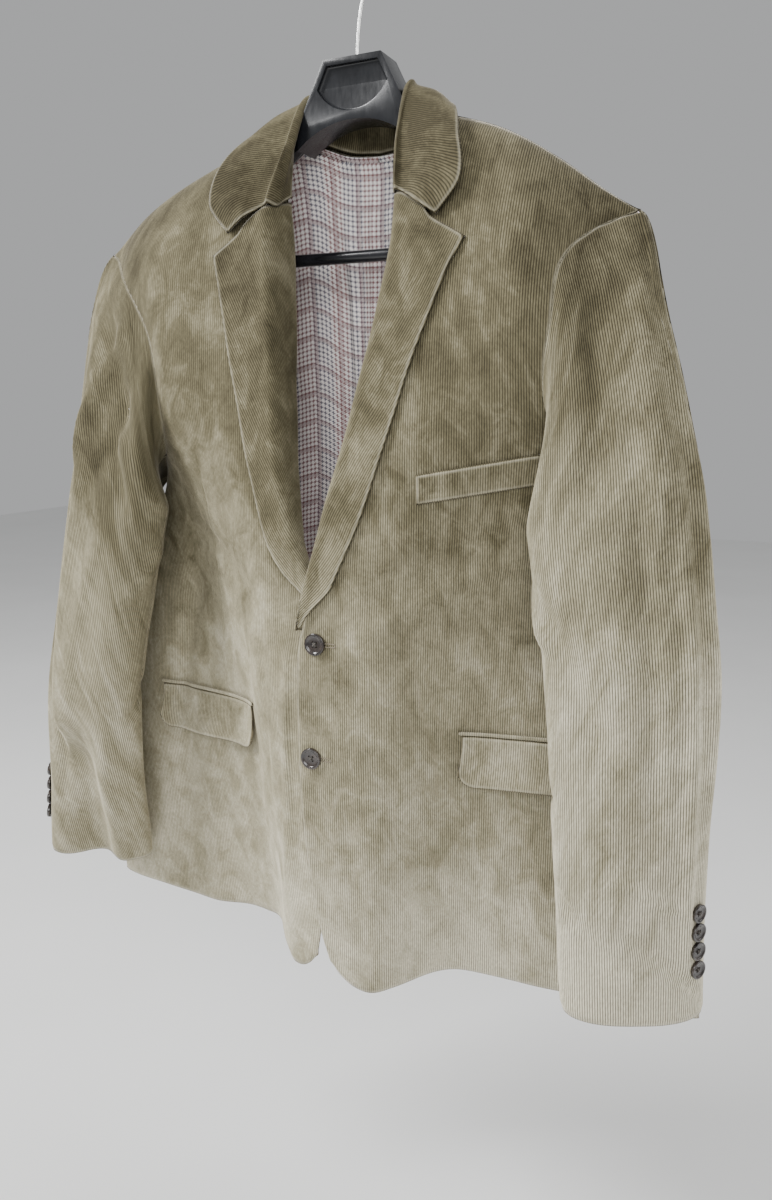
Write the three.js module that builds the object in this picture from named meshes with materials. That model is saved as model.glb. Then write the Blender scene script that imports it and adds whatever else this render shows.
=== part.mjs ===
// A two-button corduroy jacket with notched lapels, hanging on a moulded plastic suit hanger.
// Millimetres, +Z up. The front of the jacket faces -Y and the wearer's left is at +X.
// The origin is the inside top of the hanger's hook, where a peg bears.
import * as THREE from "three";

// Driving dimensions. Heights named "drop" are measured from the neck point, at the collar's foot.
const NECK_Z = -158;
const CLOTH = 2.4;
const SEAM_GAP = 0.32;
const LAY_GAP = 1.6;
const LIFT = CLOTH + LAY_GAP;
const RIDGE_Y = 3;
const RIDGE_ROUND = 110;
const NECK_ROUND = 45;
const SHIFT_HIGH = -18;
const SHIFT_LOW = 7;
const LINING = 1.2;
const LINING_LAY = 3.8;

// Body sections from the shoulders to the hem. Depths are along Y, front negative, at fixed
// distances from the centre line. wide and sideY place the widest point, and rear the back's flank.
const CREST_X = 60;
const DIP_X = 115;
const FLANK_X = 191;
const BACK_X = 195;
const BODY = [
  { drop: -60, centre: -54, crest: -54, dip: -56, flank: -60, wide: 270, sideY: 3, rear: 50, back: 50 },
  { drop: -100, centre: -58, crest: -58, dip: -60, flank: -66, wide: 270, sideY: 4, rear: 54, back: 52 },
  { drop: -180, centre: -70, crest: -71, dip: -73, flank: -72, wide: 264, sideY: 8, rear: 58, back: 55 },
  { drop: -240, centre: -78, crest: -79, dip: -78, flank: -64, wide: 250, sideY: 12, rear: 60, back: 57 },
  { drop: -280, centre: -83, crest: -84, dip: -77, flank: -51, wide: 240, sideY: 13, rear: 61, back: 58 },
  { drop: -310, centre: -86, crest: -85, dip: -74, flank: -37, wide: 238, sideY: 8, rear: 61, back: 58 },
  { drop: -350, centre: -90, crest: -87, dip: -69, flank: -21, wide: 250, sideY: 3, rear: 61, back: 58 },
  { drop: -400, centre: -95, crest: -90, dip: -62, flank: -13, wide: 278, sideY: 4, rear: 61, back: 58 },
  { drop: -450, centre: -99, crest: -92, dip: -55, flank: -11, wide: 300, sideY: 6, rear: 61, back: 58 },
  { drop: -540, centre: -101, crest: -91, dip: -43, flank: -20, wide: 318, sideY: 6, rear: 62, back: 58 },
  { drop: -660, centre: -97, crest: -89, dip: -35, flank: -14, wide: 328, sideY: 6, rear: 63, back: 60 },
  { drop: -800, centre: -89, crest: -84, dip: -25, flank: -9, wide: 336, sideY: 6, rear: 64, back: 62 },
];

// How much further back the right front falls than the left one.
const RIGHT_SLACK = [
  { drop: -500, crest: 0, dip: 0 },
  { drop: -620, crest: 9, dip: 6 },
  { drop: -800, crest: 28, dip: 12 },
];

// How deep the right front lies under the left one at the closure, and further over the break.
const UNDERLAP = [
  { drop: -360, deep: 0 },
  { drop: -392, deep: 9 },
  { drop: -405, deep: 10.5 },
  { drop: -440, deep: 10.5 },
  { drop: -475, deep: 4 },
  { drop: -800, deep: 3.4 },
];

// The top line of the shoulder over the hanger, and the hem, by distance from the centre line.
const SHOULDER = [
  { x: -30, drop: 14 },
  { x: 40, drop: 12 },
  { x: 78, drop: 5 },
  { x: 97, drop: 1 },
  { x: 135, drop: -12 },
  { x: 170, drop: -27 },
  { x: 212, drop: -49 },
  { x: 245, drop: -71 },
  { x: 270, drop: -87 },
  { x: 330, drop: -120 },
];
const HEM = [
  { x: -1, drop: -766 },
  { x: 9, drop: -771 },
  { x: 18, drop: -781 },
  { x: 32, drop: -790 },
  { x: 50, drop: -794 },
  { x: 70, drop: -788 },
  { x: 95, drop: -784 },
  { x: 141, drop: -791 },
  { x: 190, drop: -794 },
  { x: 330, drop: -792 },
];
const HEM_BACK = -792;

// The back neckline, from the centre back up to the neck point.
const NECKLINE = [
  { x: 0, drop: -12 },
  { x: 30, drop: -9 },
  { x: 62, drop: 2 },
  { x: 78, drop: 4 },
];
const NECK_X = 78;

// Where each front's inner edge runs: the lapel's fold down to the break, then the front edge
// past the centre line, then the cutaway. foldY is how far back the fold lies.
const EDGE = {
  left: [
    { drop: 4, x: 78, inset: 0 },
    { drop: -30, x: 62, inset: 6 },
    { drop: -60, x: 54, inset: 24 },
    { drop: -110, x: 50, inset: 32 },
    { drop: -186, x: 39, inset: 32 },
    { drop: -252, x: 25, inset: 27 },
    { drop: -323, x: 8, inset: 16 },
    { drop: -393, x: -7, inset: 3 },
    { drop: -440, x: -14, inset: 0 },
    { drop: -480, x: -17, inset: 0 },
    { drop: -600, x: -16, inset: 0 },
    { drop: -660, x: -12, inset: 0 },
    { drop: -710, x: -5, inset: 0 },
    { drop: -745, x: 1, inset: 0 },
    { drop: -770, x: 8, inset: 0 },
  ],
  right: [
    { drop: 4, x: 78, inset: 0 },
    { drop: -30, x: 62, inset: 6 },
    { drop: -60, x: 55, inset: 24 },
    { drop: -110, x: 51, inset: 34 },
    { drop: -186, x: 48, inset: 38 },
    { drop: -252, x: 42, inset: 36 },
    { drop: -323, x: 30, inset: 26 },
    { drop: -393, x: 8, inset: 8 },
    { drop: -440, x: -8, inset: 1 },
    { drop: -480, x: -14, inset: 0 },
    { drop: -600, x: -14, inset: 0 },
    { drop: -660, x: -10, inset: 0 },
    { drop: -710, x: -3, inset: 0 },
    { drop: -745, x: 3, inset: 0 },
    { drop: -770, x: 8, inset: 0 },
  ],
};
const INSET_WIDTH = 24;

// The armhole round the body. t is the place on the body section (3 front flank, 4 side,
// 5 back flank), and ring is the place on the sleeve's tube in degrees (0 outer, 90 front).
const ARMHOLE = [
  { t: 4.0, drop: -89, ring: 6 },
  { t: 3.66, drop: -96, ring: 36 },
  { t: 3.4, drop: -114, ring: 62 },
  { t: 3.2, drop: -142, ring: 90 },
  { t: 3.06, drop: -180, ring: 118 },
  { t: 3.0, drop: -222, ring: 144 },
  { t: 3.1, drop: -260, ring: 172 },
  { t: 3.42, drop: -288, ring: 210 },
  { t: 4.0, drop: -302, ring: 252 },
  { t: 4.46, drop: -288, ring: 280 },
  { t: 4.76, drop: -255, ring: 300 },
  { t: 4.84, drop: -208, ring: 317 },
  { t: 4.78, drop: -152, ring: 332 },
  { t: 4.56, drop: -115, ring: 346 },
  { t: 4.28, drop: -97, ring: 357 },
];
const ARMPIT = -302;

// The hanging tube of each sleeve below the armhole: centre, half width and half depth of the
// oval, and its turn in plan. The two sleeves have one cut and hang differently.
const SLEEVE = {
  left: [
    { drop: -345, x: 249, y: -56, wide: 70, deep: 38, turn: 6 },
    { drop: -440, x: 265, y: -62, wide: 68, deep: 38, turn: 12 },
    { drop: -540, x: 273, y: -68, wide: 65, deep: 35, turn: 18 },
    { drop: -640, x: 279, y: -72, wide: 62, deep: 31, turn: 23 },
    { drop: -742, x: 286, y: -75, wide: 60, deep: 28, turn: 27 },
  ],
  right: [
    { drop: -345, x: 254, y: -60, wide: 66, deep: 37, turn: 18 },
    { drop: -440, x: 276, y: -63, wide: 65, deep: 37, turn: 20 },
    { drop: -540, x: 296, y: -65, wide: 63, deep: 35, turn: 15 },
    { drop: -640, x: 309, y: -59, wide: 61, deep: 30, turn: 2 },
    { drop: -742, x: 323, y: -46, wide: 61, deep: 25, turn: -15 },
  ],
};
const CUFF_DROP = -742;
const FRONT_SEAM_ROW = 11;

// The largest folds of each sleeve: a soft trough or ridge between two places on the tube, each
// given by its angle and drop, with its half width in degrees and its height.
const FOLDS = {
  left: [
    { fromRing: 30, fromDrop: -150, toRing: 60, toDrop: -330, half: 13, high: 6 },
    { fromRing: 62, fromDrop: -170, toRing: 96, toDrop: -300, half: 13, high: -6 },
    { fromRing: 14, fromDrop: -180, toRing: 22, toDrop: -520, half: 10, high: 5 },
    { fromRing: 150, fromDrop: -400, toRing: 110, toDrop: -500, half: 16, high: -5 },
    { fromRing: 160, fromDrop: -640, toRing: 110, toDrop: -690, half: 14, high: -4 },
  ],
  right: [
    { fromRing: 70, fromDrop: -150, toRing: 120, toDrop: -260, half: 12, high: -7 },
    { fromRing: 84, fromDrop: -230, toRing: 130, toDrop: -330, half: 12, high: -6 },
    { fromRing: 72, fromDrop: -220, toRing: 78, toDrop: -620, half: 14, high: 5 },
    { fromRing: 84, fromDrop: -600, toRing: 96, toDrop: -760, half: 26, high: -15 },
    { fromRing: 128, fromDrop: -600, toRing: 118, toDrop: -760, half: 16, high: 6 },
  ],
};

// The lapels, by drop below the neck point: fold and crest of the roll, and the outer edge.
const LAPEL = {
  left: [
    { drop: -40, roll: 57, edge: 133 },
    { drop: -64, roll: 59, edge: 131 },
    { drop: -105, roll: 58, edge: 128 },
    { drop: -130, roll: 54, edge: 114 },
    { drop: -180, roll: 43, edge: 93 },
    { drop: -231, roll: 32, edge: 77 },
    { drop: -302, roll: 14, edge: 56 },
    { drop: -356, roll: 0, edge: 37 },
    { drop: -403, roll: -10, edge: 17 },
    { drop: -436, roll: -17, edge: 3 },
    { drop: -470, roll: -22, edge: -8 },
  ],
  right: [
    { drop: -40, roll: 60, edge: 124 },
    { drop: -64, roll: 60, edge: 122 },
    { drop: -105, roll: 57, edge: 116 },
    { drop: -130, roll: 54, edge: 111 },
    { drop: -180, roll: 48, edge: 101 },
    { drop: -231, roll: 43, edge: 88 },
    { drop: -302, roll: 34, edge: 71 },
    { drop: -356, roll: 20, edge: 54 },
    { drop: -395, roll: 5, edge: 33 },
    { drop: -420, roll: -4, edge: 15 },
    { drop: -450, roll: -14, edge: 0 },
  ],
};
const ROLL_SHARE = 0.4;
const ROLL_REACH = 11;
const GORGE = [
  { s: 0, drop: -64 },
  { s: 0.2, drop: -68.5 },
  { s: 0.4, drop: -72.5 },
  { s: 0.72, drop: -92.5 },
  { s: 1, drop: -107 },
];
const LAPEL_FOOT = { left: -437, right: -428 };

// The collar from the centre back to its front end: foot of the stand, top of the roll, and the
// leaf's outer edge, each with its x (fx, rx, ex), its y (fy, ry, ey) and its drop. round is how
// far the roll stands proud of its top on each side.
const COLLAR = [
  { at: 0, fx: 0, fy: 46, foot: -10.5, rx: 0, ry: 50, roll: 38, ex: 0, ey: 66, edge: -30, round: 4 },
  { at: 0.2, fx: 30, fy: 40, foot: -7.5, rx: 25, ry: 42, roll: 38, ex: 42, ey: 60, edge: -24, round: 4 },
  { at: 0.42, fx: 62, fy: 20, foot: 4, rx: 46, ry: 20, roll: 38, ex: 80, ey: 34, edge: -3, round: 4.5 },
  { at: 0.6, fx: 67, fy: 0, foot: 6, rx: 52, ry: -6, roll: 29, ex: 97, ey: -6, edge: 4.6, round: 5 },
  { at: .78, fx: 58, fy: -14, foot: -22, rx: 55, ry: -34, roll: -14, ex: 114, ey: -45, edge: -24, round: 6 },
  { at: .93, fx: 53, fy: -26, foot: -48, rx: 60, ry: -52, roll: -50, ex: 121, ey: -60, edge: -63, round: 7 },
  { at: 1, fx: 51, fy: -30, foot: -57, rx: 62, ry: -57, roll: -65, ex: 101, ey: -61.5, edge: -89, round: 7 },
];

// Pockets, by distance from the centre line and drop.
const FLAP = { x: 111.5, lead: 8, width: 142, height: 47, drop: -536, tilt: -4, corner: 14 };
const FLAP_STAND = { top: 3.5, foot: 12.5 };
const JET = { height: 5, over: 3, stand: 3.3 };
const WELT = { x: 91, width: 96, drop: -297, rise: 18, height: 25, wall: 2.0 };

// Buttons: radius, thickness, rim and dish.
const FRONT_BUTTON = { radius: 10, thick: 3.4, rim: 2.4, dish: 1.0, x: [4, -1], drops: [-449, -557] };
const CUFF_BUTTON = { radius: 7.9, thick: 3.0, rim: 1.9, dish: 0.8, count: 4, lowest: -695, pitch: 17 };
const BUTTON_RING = { left: 38, right: 12 };
const BUTTON_GAP = 0.35;

// Hanger: neck plate, arms, trouser bar and hook.
const HANGER = [
  { x: 0, high: 57, low: 9, deep: 11, sunk: 2.5 },
  { x: 12, high: 57, low: 8.6, deep: 11, sunk: 2.5 },
  { x: 19, high: 56, low: 7.4, deep: 11, sunk: 2.5 },
  { x: 27, high: 44, low: 5, deep: 11, sunk: 2.5 },
  { x: 34, high: 32, low: 2, deep: 11, sunk: 2.5 },
  { x: 38, high: 26, low: 0, deep: 11, sunk: 0 },
  { x: 43, high: 18, low: -2.5, deep: 10, sunk: 0 },
  { x: 50, high: 5, low: -7, deep: 8, sunk: 0 },
  { x: 58, high: -3, low: -13, deep: 6.5, sunk: 0 },
  { x: 66, high: -3, low: -20, deep: 6.5, sunk: 0 },
  { x: 78, high: -3, low: -28, deep: 9, sunk: 0 },
  { x: 95, high: 40, low: -36, deep: 14, sunk: 0 },
  { x: 118, high: 40, low: -46, deep: 19, sunk: 0 },
  { x: 145, high: 40, low: -58, deep: 22, sunk: 0 },
  { x: 175, high: 40, low: -72, deep: 24, sunk: 0 },
  { x: 200, high: 40, low: -86, deep: 24, sunk: 0 },
  { x: 216, high: 40, low: -95, deep: 20, sunk: 0 },
  { x: 216.6, high: 40, low: -114, deep: 20, sunk: 0 },
  { x: 228, high: 40, low: -112, deep: 13, sunk: 0 },
  { x: 233, high: 40, low: -108, deep: 9, sunk: 0 },
];
const RIM = 3;
const HANGER_Y = 1;
const ARM_CLEAR = 2;
const BAR = { drop: -107, radius: 5.5, gap: 0.35, sides: 10 };
const HOOK = { wire: 1.7, root: 57.4, bend: 20, lean: 6, tipAngle: 200, sides: 8 };

const OUTER = { left: 1, right: -1 };
const clamp = (v, lo, hi) => Math.min(hi, Math.max(lo, v));
const lerp = (a, b, t) => a + (b - a) * t;
const smooth = (from, to, v) => {
  const t = clamp((v - from) / (to - from), 0, 1);
  return t * t * (3 - 2 * t);
};
const radians = (degrees) => (degrees * Math.PI) / 180;
const range = (count) => Array.from({ length: count }, (_, i) => i);
const even = (count, from = 0, to = 1) => range(count + 1).map((i) => lerp(from, to, i / count));

// A smooth reading of one column of a table at a key. Keys rise or fall down the table.
function read(table, key, at, column) {
  const rising = table[table.length - 1][key] > table[0][key];
  const last = table.length - 1;
  let i = 0;
  while (i < last - 1 && (rising ? at > table[i + 1][key] : at < table[i + 1][key])) i++;
  const a = table[i];
  const b = table[i + 1];
  const before = table[Math.max(0, i - 1)];
  const after = table[Math.min(last, i + 2)];
  const span = b[key] - a[key];
  const t = clamp((at - a[key]) / span, 0, 1);
  const slope = (p, n) => ((n[column] - p[column]) * span) / (n[key] - p[key]);
  return ease(a[column], slope(before, b), b[column], slope(a, after), t);
}

// A cubic from one value and slope to another.
function ease(from, slopeFrom, to, slopeTo, t) {
  const t2 = t * t;
  const t3 = t2 * t;
  const ends = (2 * t3 - 3 * t2 + 1) * from + (3 * t2 - 2 * t3) * to;
  return ends + (t3 - 2 * t2 + t) * slopeFrom + (t3 - t2) * slopeTo;
}

// A smooth closed or open curve through points at whole numbers of t.
function through(points, t, closed = false) {
  const count = points.length;
  const pick = (i) => (closed ? points[((i % count) + count) % count] : points[clamp(i, 0, count - 1)]);
  const i = closed ? Math.floor(t) : clamp(Math.floor(t), 0, count - 2);
  const f = t - i;
  return pick(i).map((_, axis) => {
    const [p, a, b, n] = [-1, 0, 1, 2].map((k) => pick(i + k)[axis]);
    return ease(a, (b - p) / 2, b, (n - a) / 2, f);
  });
}

const shoulderDrop = (x) => read(SHOULDER, "x", x, "drop");

// The body section at a drop: a point for t from -2 (past the centre line) to 8.
function section(t, drop) {
  const value = (column) => read(BODY, "drop", drop, column);
  const centre = [0, value("centre")];
  const crest = [CREST_X, value("crest")];
  const dip = [DIP_X, value("dip")];
  const flank = [FLANK_X, value("flank")];
  const side = [value("wide"), value("sideY")];
  const backFlank = [BACK_X, value("rear")];
  const backHalf = [BACK_X / 2, value("back")];
  const back = [0, value("back")];
  const mirrored = ([x, y]) => [-x, y];
  const fore = [mirrored(dip), mirrored(crest), centre, crest, dip, flank];
  const aft = [side, backFlank, backHalf, back, mirrored(backHalf)];
  return through([...fore, ...aft], t + 2);
}

// The cloth's depth grows from nothing at the shoulder's ridge, as it does over a hanger.
function bodySurface(t, drop) {
  const [x, depth] = section(t, drop);
  const round = t > 4 ? lerp(NECK_ROUND, RIDGE_ROUND, smooth(40, 110, Math.abs(x))) : RIDGE_ROUND;
  const below = clamp((shoulderDrop(x) - drop) / round, 0, 1);
  const share = Math.pow(1 - (1 - below) * (1 - below), 0.6);
  const ridge = RIDGE_Y + Math.sign(t - 4) * (SEAM_GAP / 2);
  return [x, lerp(ridge, depth, share), drop];
}

function sectionPlace(x, drop, from, to) {
  let lo = from;
  let hi = to;
  const rising = section(to, drop)[0] > section(from, drop)[0];
  for (let step = 0; step < 32; step++) {
    const mid = (lo + hi) / 2;
    if (section(mid, drop)[0] < x === rising) lo = mid;
    else hi = mid;
  }
  return (lo + hi) / 2;
}
const frontPlace = (x, drop) => sectionPlace(x, drop, -1.5, 3.95);
const frontY = (x, drop) => bodySurface(frontPlace(x, drop), drop)[1];

const row = (side, drop, column) => read(EDGE[side], "drop", drop, column);

// How far the right front falls back, and passes under the left one.
function laidBack(side, x, drop) {
  if (side === "left") return 0;
  const under = read(UNDERLAP, "drop", drop, "deep") * (1 - smooth(26, 70, x));
  const crest = read(RIGHT_SLACK, "drop", drop, "crest") * smooth(10, 75, x) * (1 - smooth(80, 120, x));
  const dip = read(RIGHT_SLACK, "drop", drop, "dip") * smooth(80, 120, x) * (1 - smooth(140, 200, x));
  return under + crest + dip;
}

// A front's own surface: the body surface, set back beside the lapel's fold, and the right
// front passes under the left one at the closure.
function frontSurface(side, t, drop) {
  const [x, y] = bodySurface(t, drop);
  const fromFold = (x - row(side, drop, "x")) / INSET_WIDTH;
  const inset = row(side, drop, "inset") * Math.exp(-fromFold * fromFold);
  return [x, y + inset + laidBack(side, x, drop), drop];
}

// The jacket hangs a little askew: the shoulders lie to its right and the chest to its left.
function askew(x, z) {
  const high = SHIFT_HIGH * smooth(120, 240, x);
  const low = SHIFT_LOW * smooth(0, 200, x);
  return lerp(low, high, lerp(smooth(-190, -90, z), smooth(-320, -130, z), smooth(191, 245, x)));
}
const settled = ([x, y, z], side) => [OUTER[side] * x + askew(Math.abs(x), z), y, z + NECK_Z];

const minus = (a, b) => [a[0] - b[0], a[1] - b[1], a[2] - b[2]];
const plus = (a, b, k = 1) => [a[0] + b[0] * k, a[1] + b[1] * k, a[2] + b[2] * k];
const cross = (a, b) => [a[1] * b[2] - a[2] * b[1], a[2] * b[0] - a[0] * b[2], a[0] * b[1] - a[1] * b[0]];
const unit = (a) => {
  const long = Math.hypot(...a) || 1;
  return a.map((v) => v / long);
};

// A wall of cloth: outer points on a surface place(u, v), inner points one thickness along its
// normal. facing is 1 where the outward normal is dv x du, and -1 where it is the other way.
function cloth(name, place, us, vs, options = {}) {
  const { thick = CLOTH, facing = 1, material = CORDUROY, lift, limit } = options;
  const { span = 1e-3, around = place } = options;
  const step = 1e-3;
  const outer = [];
  const inner = [];
  for (const v of vs) {
    for (const u of us) {
      const du = minus(around(u + span, v), around(u - span, v));
      const dv = minus(around(u, v + step), around(u, v - step));
      const normal = unit(cross(dv, du)).map((n) => n * facing);
      const face = plus(place(u, v), normal, lift ? lift(u, v) : 0);
      const back = plus(face, normal, -thick);
      outer.push(face);
      inner.push(limit ? limit(back, face, u, v) : back);
    }
  }
  return wall(name, outer, inner, us.length, vs.length, facing, material);
}

// The closed solid between two grids of points.
function wall(name, outer, inner, columns, rows, facing, material) {
  const positions = new Float32Array([...outer, ...inner].flat());
  const below = outer.length;
  const index = [];
  const quad = (a, b, c, d, turned) => index.push(...(turned ? [a, c, b, a, d, c] : [a, b, c, a, c, d]));
  const turned = facing > 0;
  for (let j = 0; j < rows - 1; j++) {
    for (let i = 0; i < columns - 1; i++) {
      const a = j * columns + i;
      const [b, c, d] = [a + 1, a + columns + 1, a + columns];
      quad(a, b, c, d, turned);
      quad(a + below, b + below, c + below, d + below, !turned);
    }
  }
  const rim = (a, b) => quad(a, a + below, b + below, b, turned);
  for (let i = 0; i < columns - 1; i++) {
    rim(i, i + 1);
    rim((rows - 1) * columns + i + 1, (rows - 1) * columns + i);
  }
  for (let j = 0; j < rows - 1; j++) {
    rim((j + 1) * columns, j * columns);
    rim(j * columns + columns - 1, (j + 1) * columns + columns - 1);
  }
  const geometry = new THREE.BufferGeometry();
  geometry.setAttribute("position", new THREE.BufferAttribute(positions, 3));
  geometry.setIndex(index);
  geometry.computeVertexNormals();
  const mesh = new THREE.Mesh(geometry, material);
  mesh.name = name;
  return mesh;
}

const finish = (color, roughness, metalness) =>
  new THREE.MeshStandardMaterial({ color, roughness, metalness });
const CORDUROY = finish(0x8b7d62, 0.95, 0);
const LINING_CLOTH = finish(0xc4b4b0, 0.6, 0);
const HORN = finish(0x1c1a1c, 0.3, 0);
const PLASTIC = finish(0x14161a, 0.25, 0);
const STEEL = finish(0xc8cacc, 0.2, 1);

// The armhole loop, read by its place among the table's rows.
function armholePlace(q) {
  const [t, drop] = through(ARMHOLE.map((r) => [r.t, r.drop]), q, true);
  const x = section(t, drop)[0];
  return { t, drop: Math.min(drop, shoulderDrop(x)) };
}
const armholePoint = (q) => {
  const { t, drop } = armholePlace(q);
  return bodySurface(t, drop);
};

const LOW_ROW = ARMHOLE.findIndex((r) => r.drop === ARMPIT);
const TIP_X = section(ARMHOLE[0].t, ARMHOLE[0].drop)[0];
const hemDrop = { front: (x) => read(HEM, "x", x, "drop"), back: () => HEM_BACK };
const topDrop = {
  front: shoulderDrop,
  back: (x) => (x < NECK_X ? read(NECKLINE, "x", Math.abs(x), "drop") : shoulderDrop(x)),
};

// The end of each row on the armhole and side seam. v runs from the shoulder to the hem and
// passes the armpit at PIT.
const PIT = 0.42;
function outerEnd(half, v) {
  const gap = (half === "front" ? -1 : 1) * SIDE_SHARE;
  if (v < PIT) {
    const share = v / PIT;
    const q = half === "front" ? LOW_ROW * share : ARMHOLE.length - (ARMHOLE.length - LOW_ROW) * share;
    const { t, drop } = armholePlace(q);
    return { t: t + gap * smooth(0.9, 1, share), drop };
  }
  return { t: 4 + gap, drop: lerp(ARMPIT, HEM_BACK, (v - PIT) / (1 - PIT)) };
}
const SIDE_SHARE = 0.012;

// The end of each row on the fold and front edge, or on the centre back seam.
function innerEnd(half, side, v) {
  if (half === "back") return { t: 7 - SEAM_GAP / 300, drop: lerp(NECKLINE[0].drop, HEM_BACK, v) };
  const first = EDGE[side][0].drop;
  const last = EDGE[side][EDGE[side].length - 1].drop;
  const drop = lerp(first, last, v);
  const x = row(side, drop, "x") + FOLD_GAP * smooth(-445, -435, drop);
  return { t: frontPlace(x, drop), drop };
}
const FOLD_GAP = 3.2;

// The columns stand upright, and only those next to the armhole bend with it.
const UPRIGHT = { front: 3.55, back: 4.5 };
const across = (half, from, to, u) => lerp(from, UPRIGHT[half], u) + (to - UPRIGHT[half]) * Math.pow(u, 4);

// A panel's point: rows blend from end to end, and take up the shoulder and hem at the ends.
function panelPoint(half, side, u, v) {
  const inner = innerEnd(half, side, v);
  const outer = outerEnd(half, v);
  const t = across(half, inner.t, outer.t, u);
  let drop = lerp(inner.drop, outer.drop, u);
  const [top, foot] = [PANEL_TOPS, PANEL_FEET].map((ends) => ends[half + side] ?? (ends[half + side] = {}));
  const correct = (kept, atV, dropAt) => {
    const key = u.toFixed(5);
    if (!(key in kept)) {
      const [a, b] = [innerEnd(half, side, atV), outerEnd(half, atV)];
      const along = across(half, a.t, b.t, u);
      let d = lerp(a.drop, b.drop, u);
      for (let step = 0; step < 16; step++) d = dropAt(section(along, d)[0]);
      kept[key] = d - lerp(a.drop, b.drop, u);
    }
    return kept[key];
  };
  drop += correct(top, 0, topDrop[half]) * Math.pow(1 - smooth(0, PIT, v), 1.5);
  drop += correct(foot, 1, hemDrop[half]) * smooth(0.72, 1, v);
  const surface = half === "front" ? frontSurface(side, t, drop) : bodySurface(t, drop);
  return settled(surface, side);
}
const PANEL_TOPS = {};
const PANEL_FEET = {};

// Both halves use one set of rows, so that the side seams and the armhole meet chord to chord.
const ABOVE = 12;
const BELOW = 12;
const HEAD_ROWS = even(ABOVE).map((s) => Math.pow(s, 1.6));
const PANEL_ROWS = [...HEAD_ROWS.map((s) => s * PIT), ...even(BELOW, PIT, 1).slice(1)];

// The inner face keeps to its own side of the shoulder and side seams.
const beforeSeam = ([x, y, z], face, u, v) => {
  const far = v < PIT ? Math.max(face[1], RIDGE_Y - SEAM_GAP / 2) : u === 1 ? face[1] : y;
  return [x, Math.min(y, far), z];
};
const behindSeam = ([x, y, z], face, u, v) => {
  const far = v < PIT ? Math.min(face[1], RIDGE_Y + SEAM_GAP / 2) : u === 0 ? face[1] : y;
  return [x, Math.max(y, far), z];
};

const FRONT_COLUMNS = [0, 0.05, 0.12, 0.21, 0.31, 0.41, 0.5, 0.6, 0.7, 0.8, 0.9, 1];
function front(side) {
  const place = (u, v) => panelPoint("front", side, u, v);
  const look = { facing: OUTER[side], limit: beforeSeam };
  return cloth("front_" + side, place, FRONT_COLUMNS, PANEL_ROWS, look);
}

function back(side) {
  const place = (u, v) => panelPoint("back", side, 1 - u, v);
  return cloth("back_" + side, place, even(10), PANEL_ROWS, { facing: OUTER[side], limit: behindSeam });
}

function ringAngle(q) {
  const count = ARMHOLE.length;
  const turns = Math.floor(q / count);
  const at = (i) => ARMHOLE[(i + count - 1) % count].ring + 360 * Math.floor((i - 1) / count);
  const rows = range(count + 3).map((i) => [at(i)]);
  return through(rows, q - turns * count + 1)[0] + 360 * turns;
}

// A point of the hanging tube at an angle and drop, with the sleeve's folds.
function tubePoint(side, angle, drop) {
  const value = (column) => read(SLEEVE[side], "drop", drop, column);
  const [wide, deep, turn] = [value("wide"), value("deep"), radians(value("turn"))];
  const a = radians(angle);
  const square = 0.9;
  const along = wide * Math.sign(Math.cos(a)) * Math.pow(Math.abs(Math.cos(a)), square);
  const out = -deep * Math.sign(Math.sin(a)) * Math.pow(Math.abs(Math.sin(a)), square);
  return [
    value("x") + along * Math.cos(turn) - out * Math.sin(turn),
    value("y") + along * Math.sin(turn) + out * Math.cos(turn),
    drop,
  ];
}

function foldHeight(side, angle, drop) {
  let high = 0;
  for (const fold of FOLDS[side]) {
    const along = clamp((drop - fold.fromDrop) / (fold.toDrop - fold.fromDrop), -0.3, 1.3);
    const middle = lerp(fold.fromRing, fold.toRing, along);
    const across = (((angle - middle + 540) % 360) - 180) / fold.half;
    const fade = smooth(-0.25, 0.15, along) * (1 - smooth(0.85, 1.25, along));
    high += fold.high * Math.exp(-across * across) * fade;
  }
  return high;
}

// The armhole as the panels have it: straight between their rows.
const FRONT_STOPS = HEAD_ROWS.map((s) => LOW_ROW * s);
const BACK_STOPS = HEAD_ROWS.map((s) => ARMHOLE.length - (ARMHOLE.length - LOW_ROW) * s).reverse();
const STOPS = [...FRONT_STOPS, ...BACK_STOPS.slice(1)];
function seamPoint(q) {
  const turn = ARMHOLE.length;
  const local = ((q % turn) + turn) % turn;
  const i = clamp(STOPS.findIndex((stop) => stop > local) - 1, 0, STOPS.length - 2);
  const share = (local - STOPS[i]) / (STOPS[i + 1] - STOPS[i]);
  return lerp3(armholePoint(STOPS[i]), armholePoint(STOPS[i + 1]), share);
}

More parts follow.
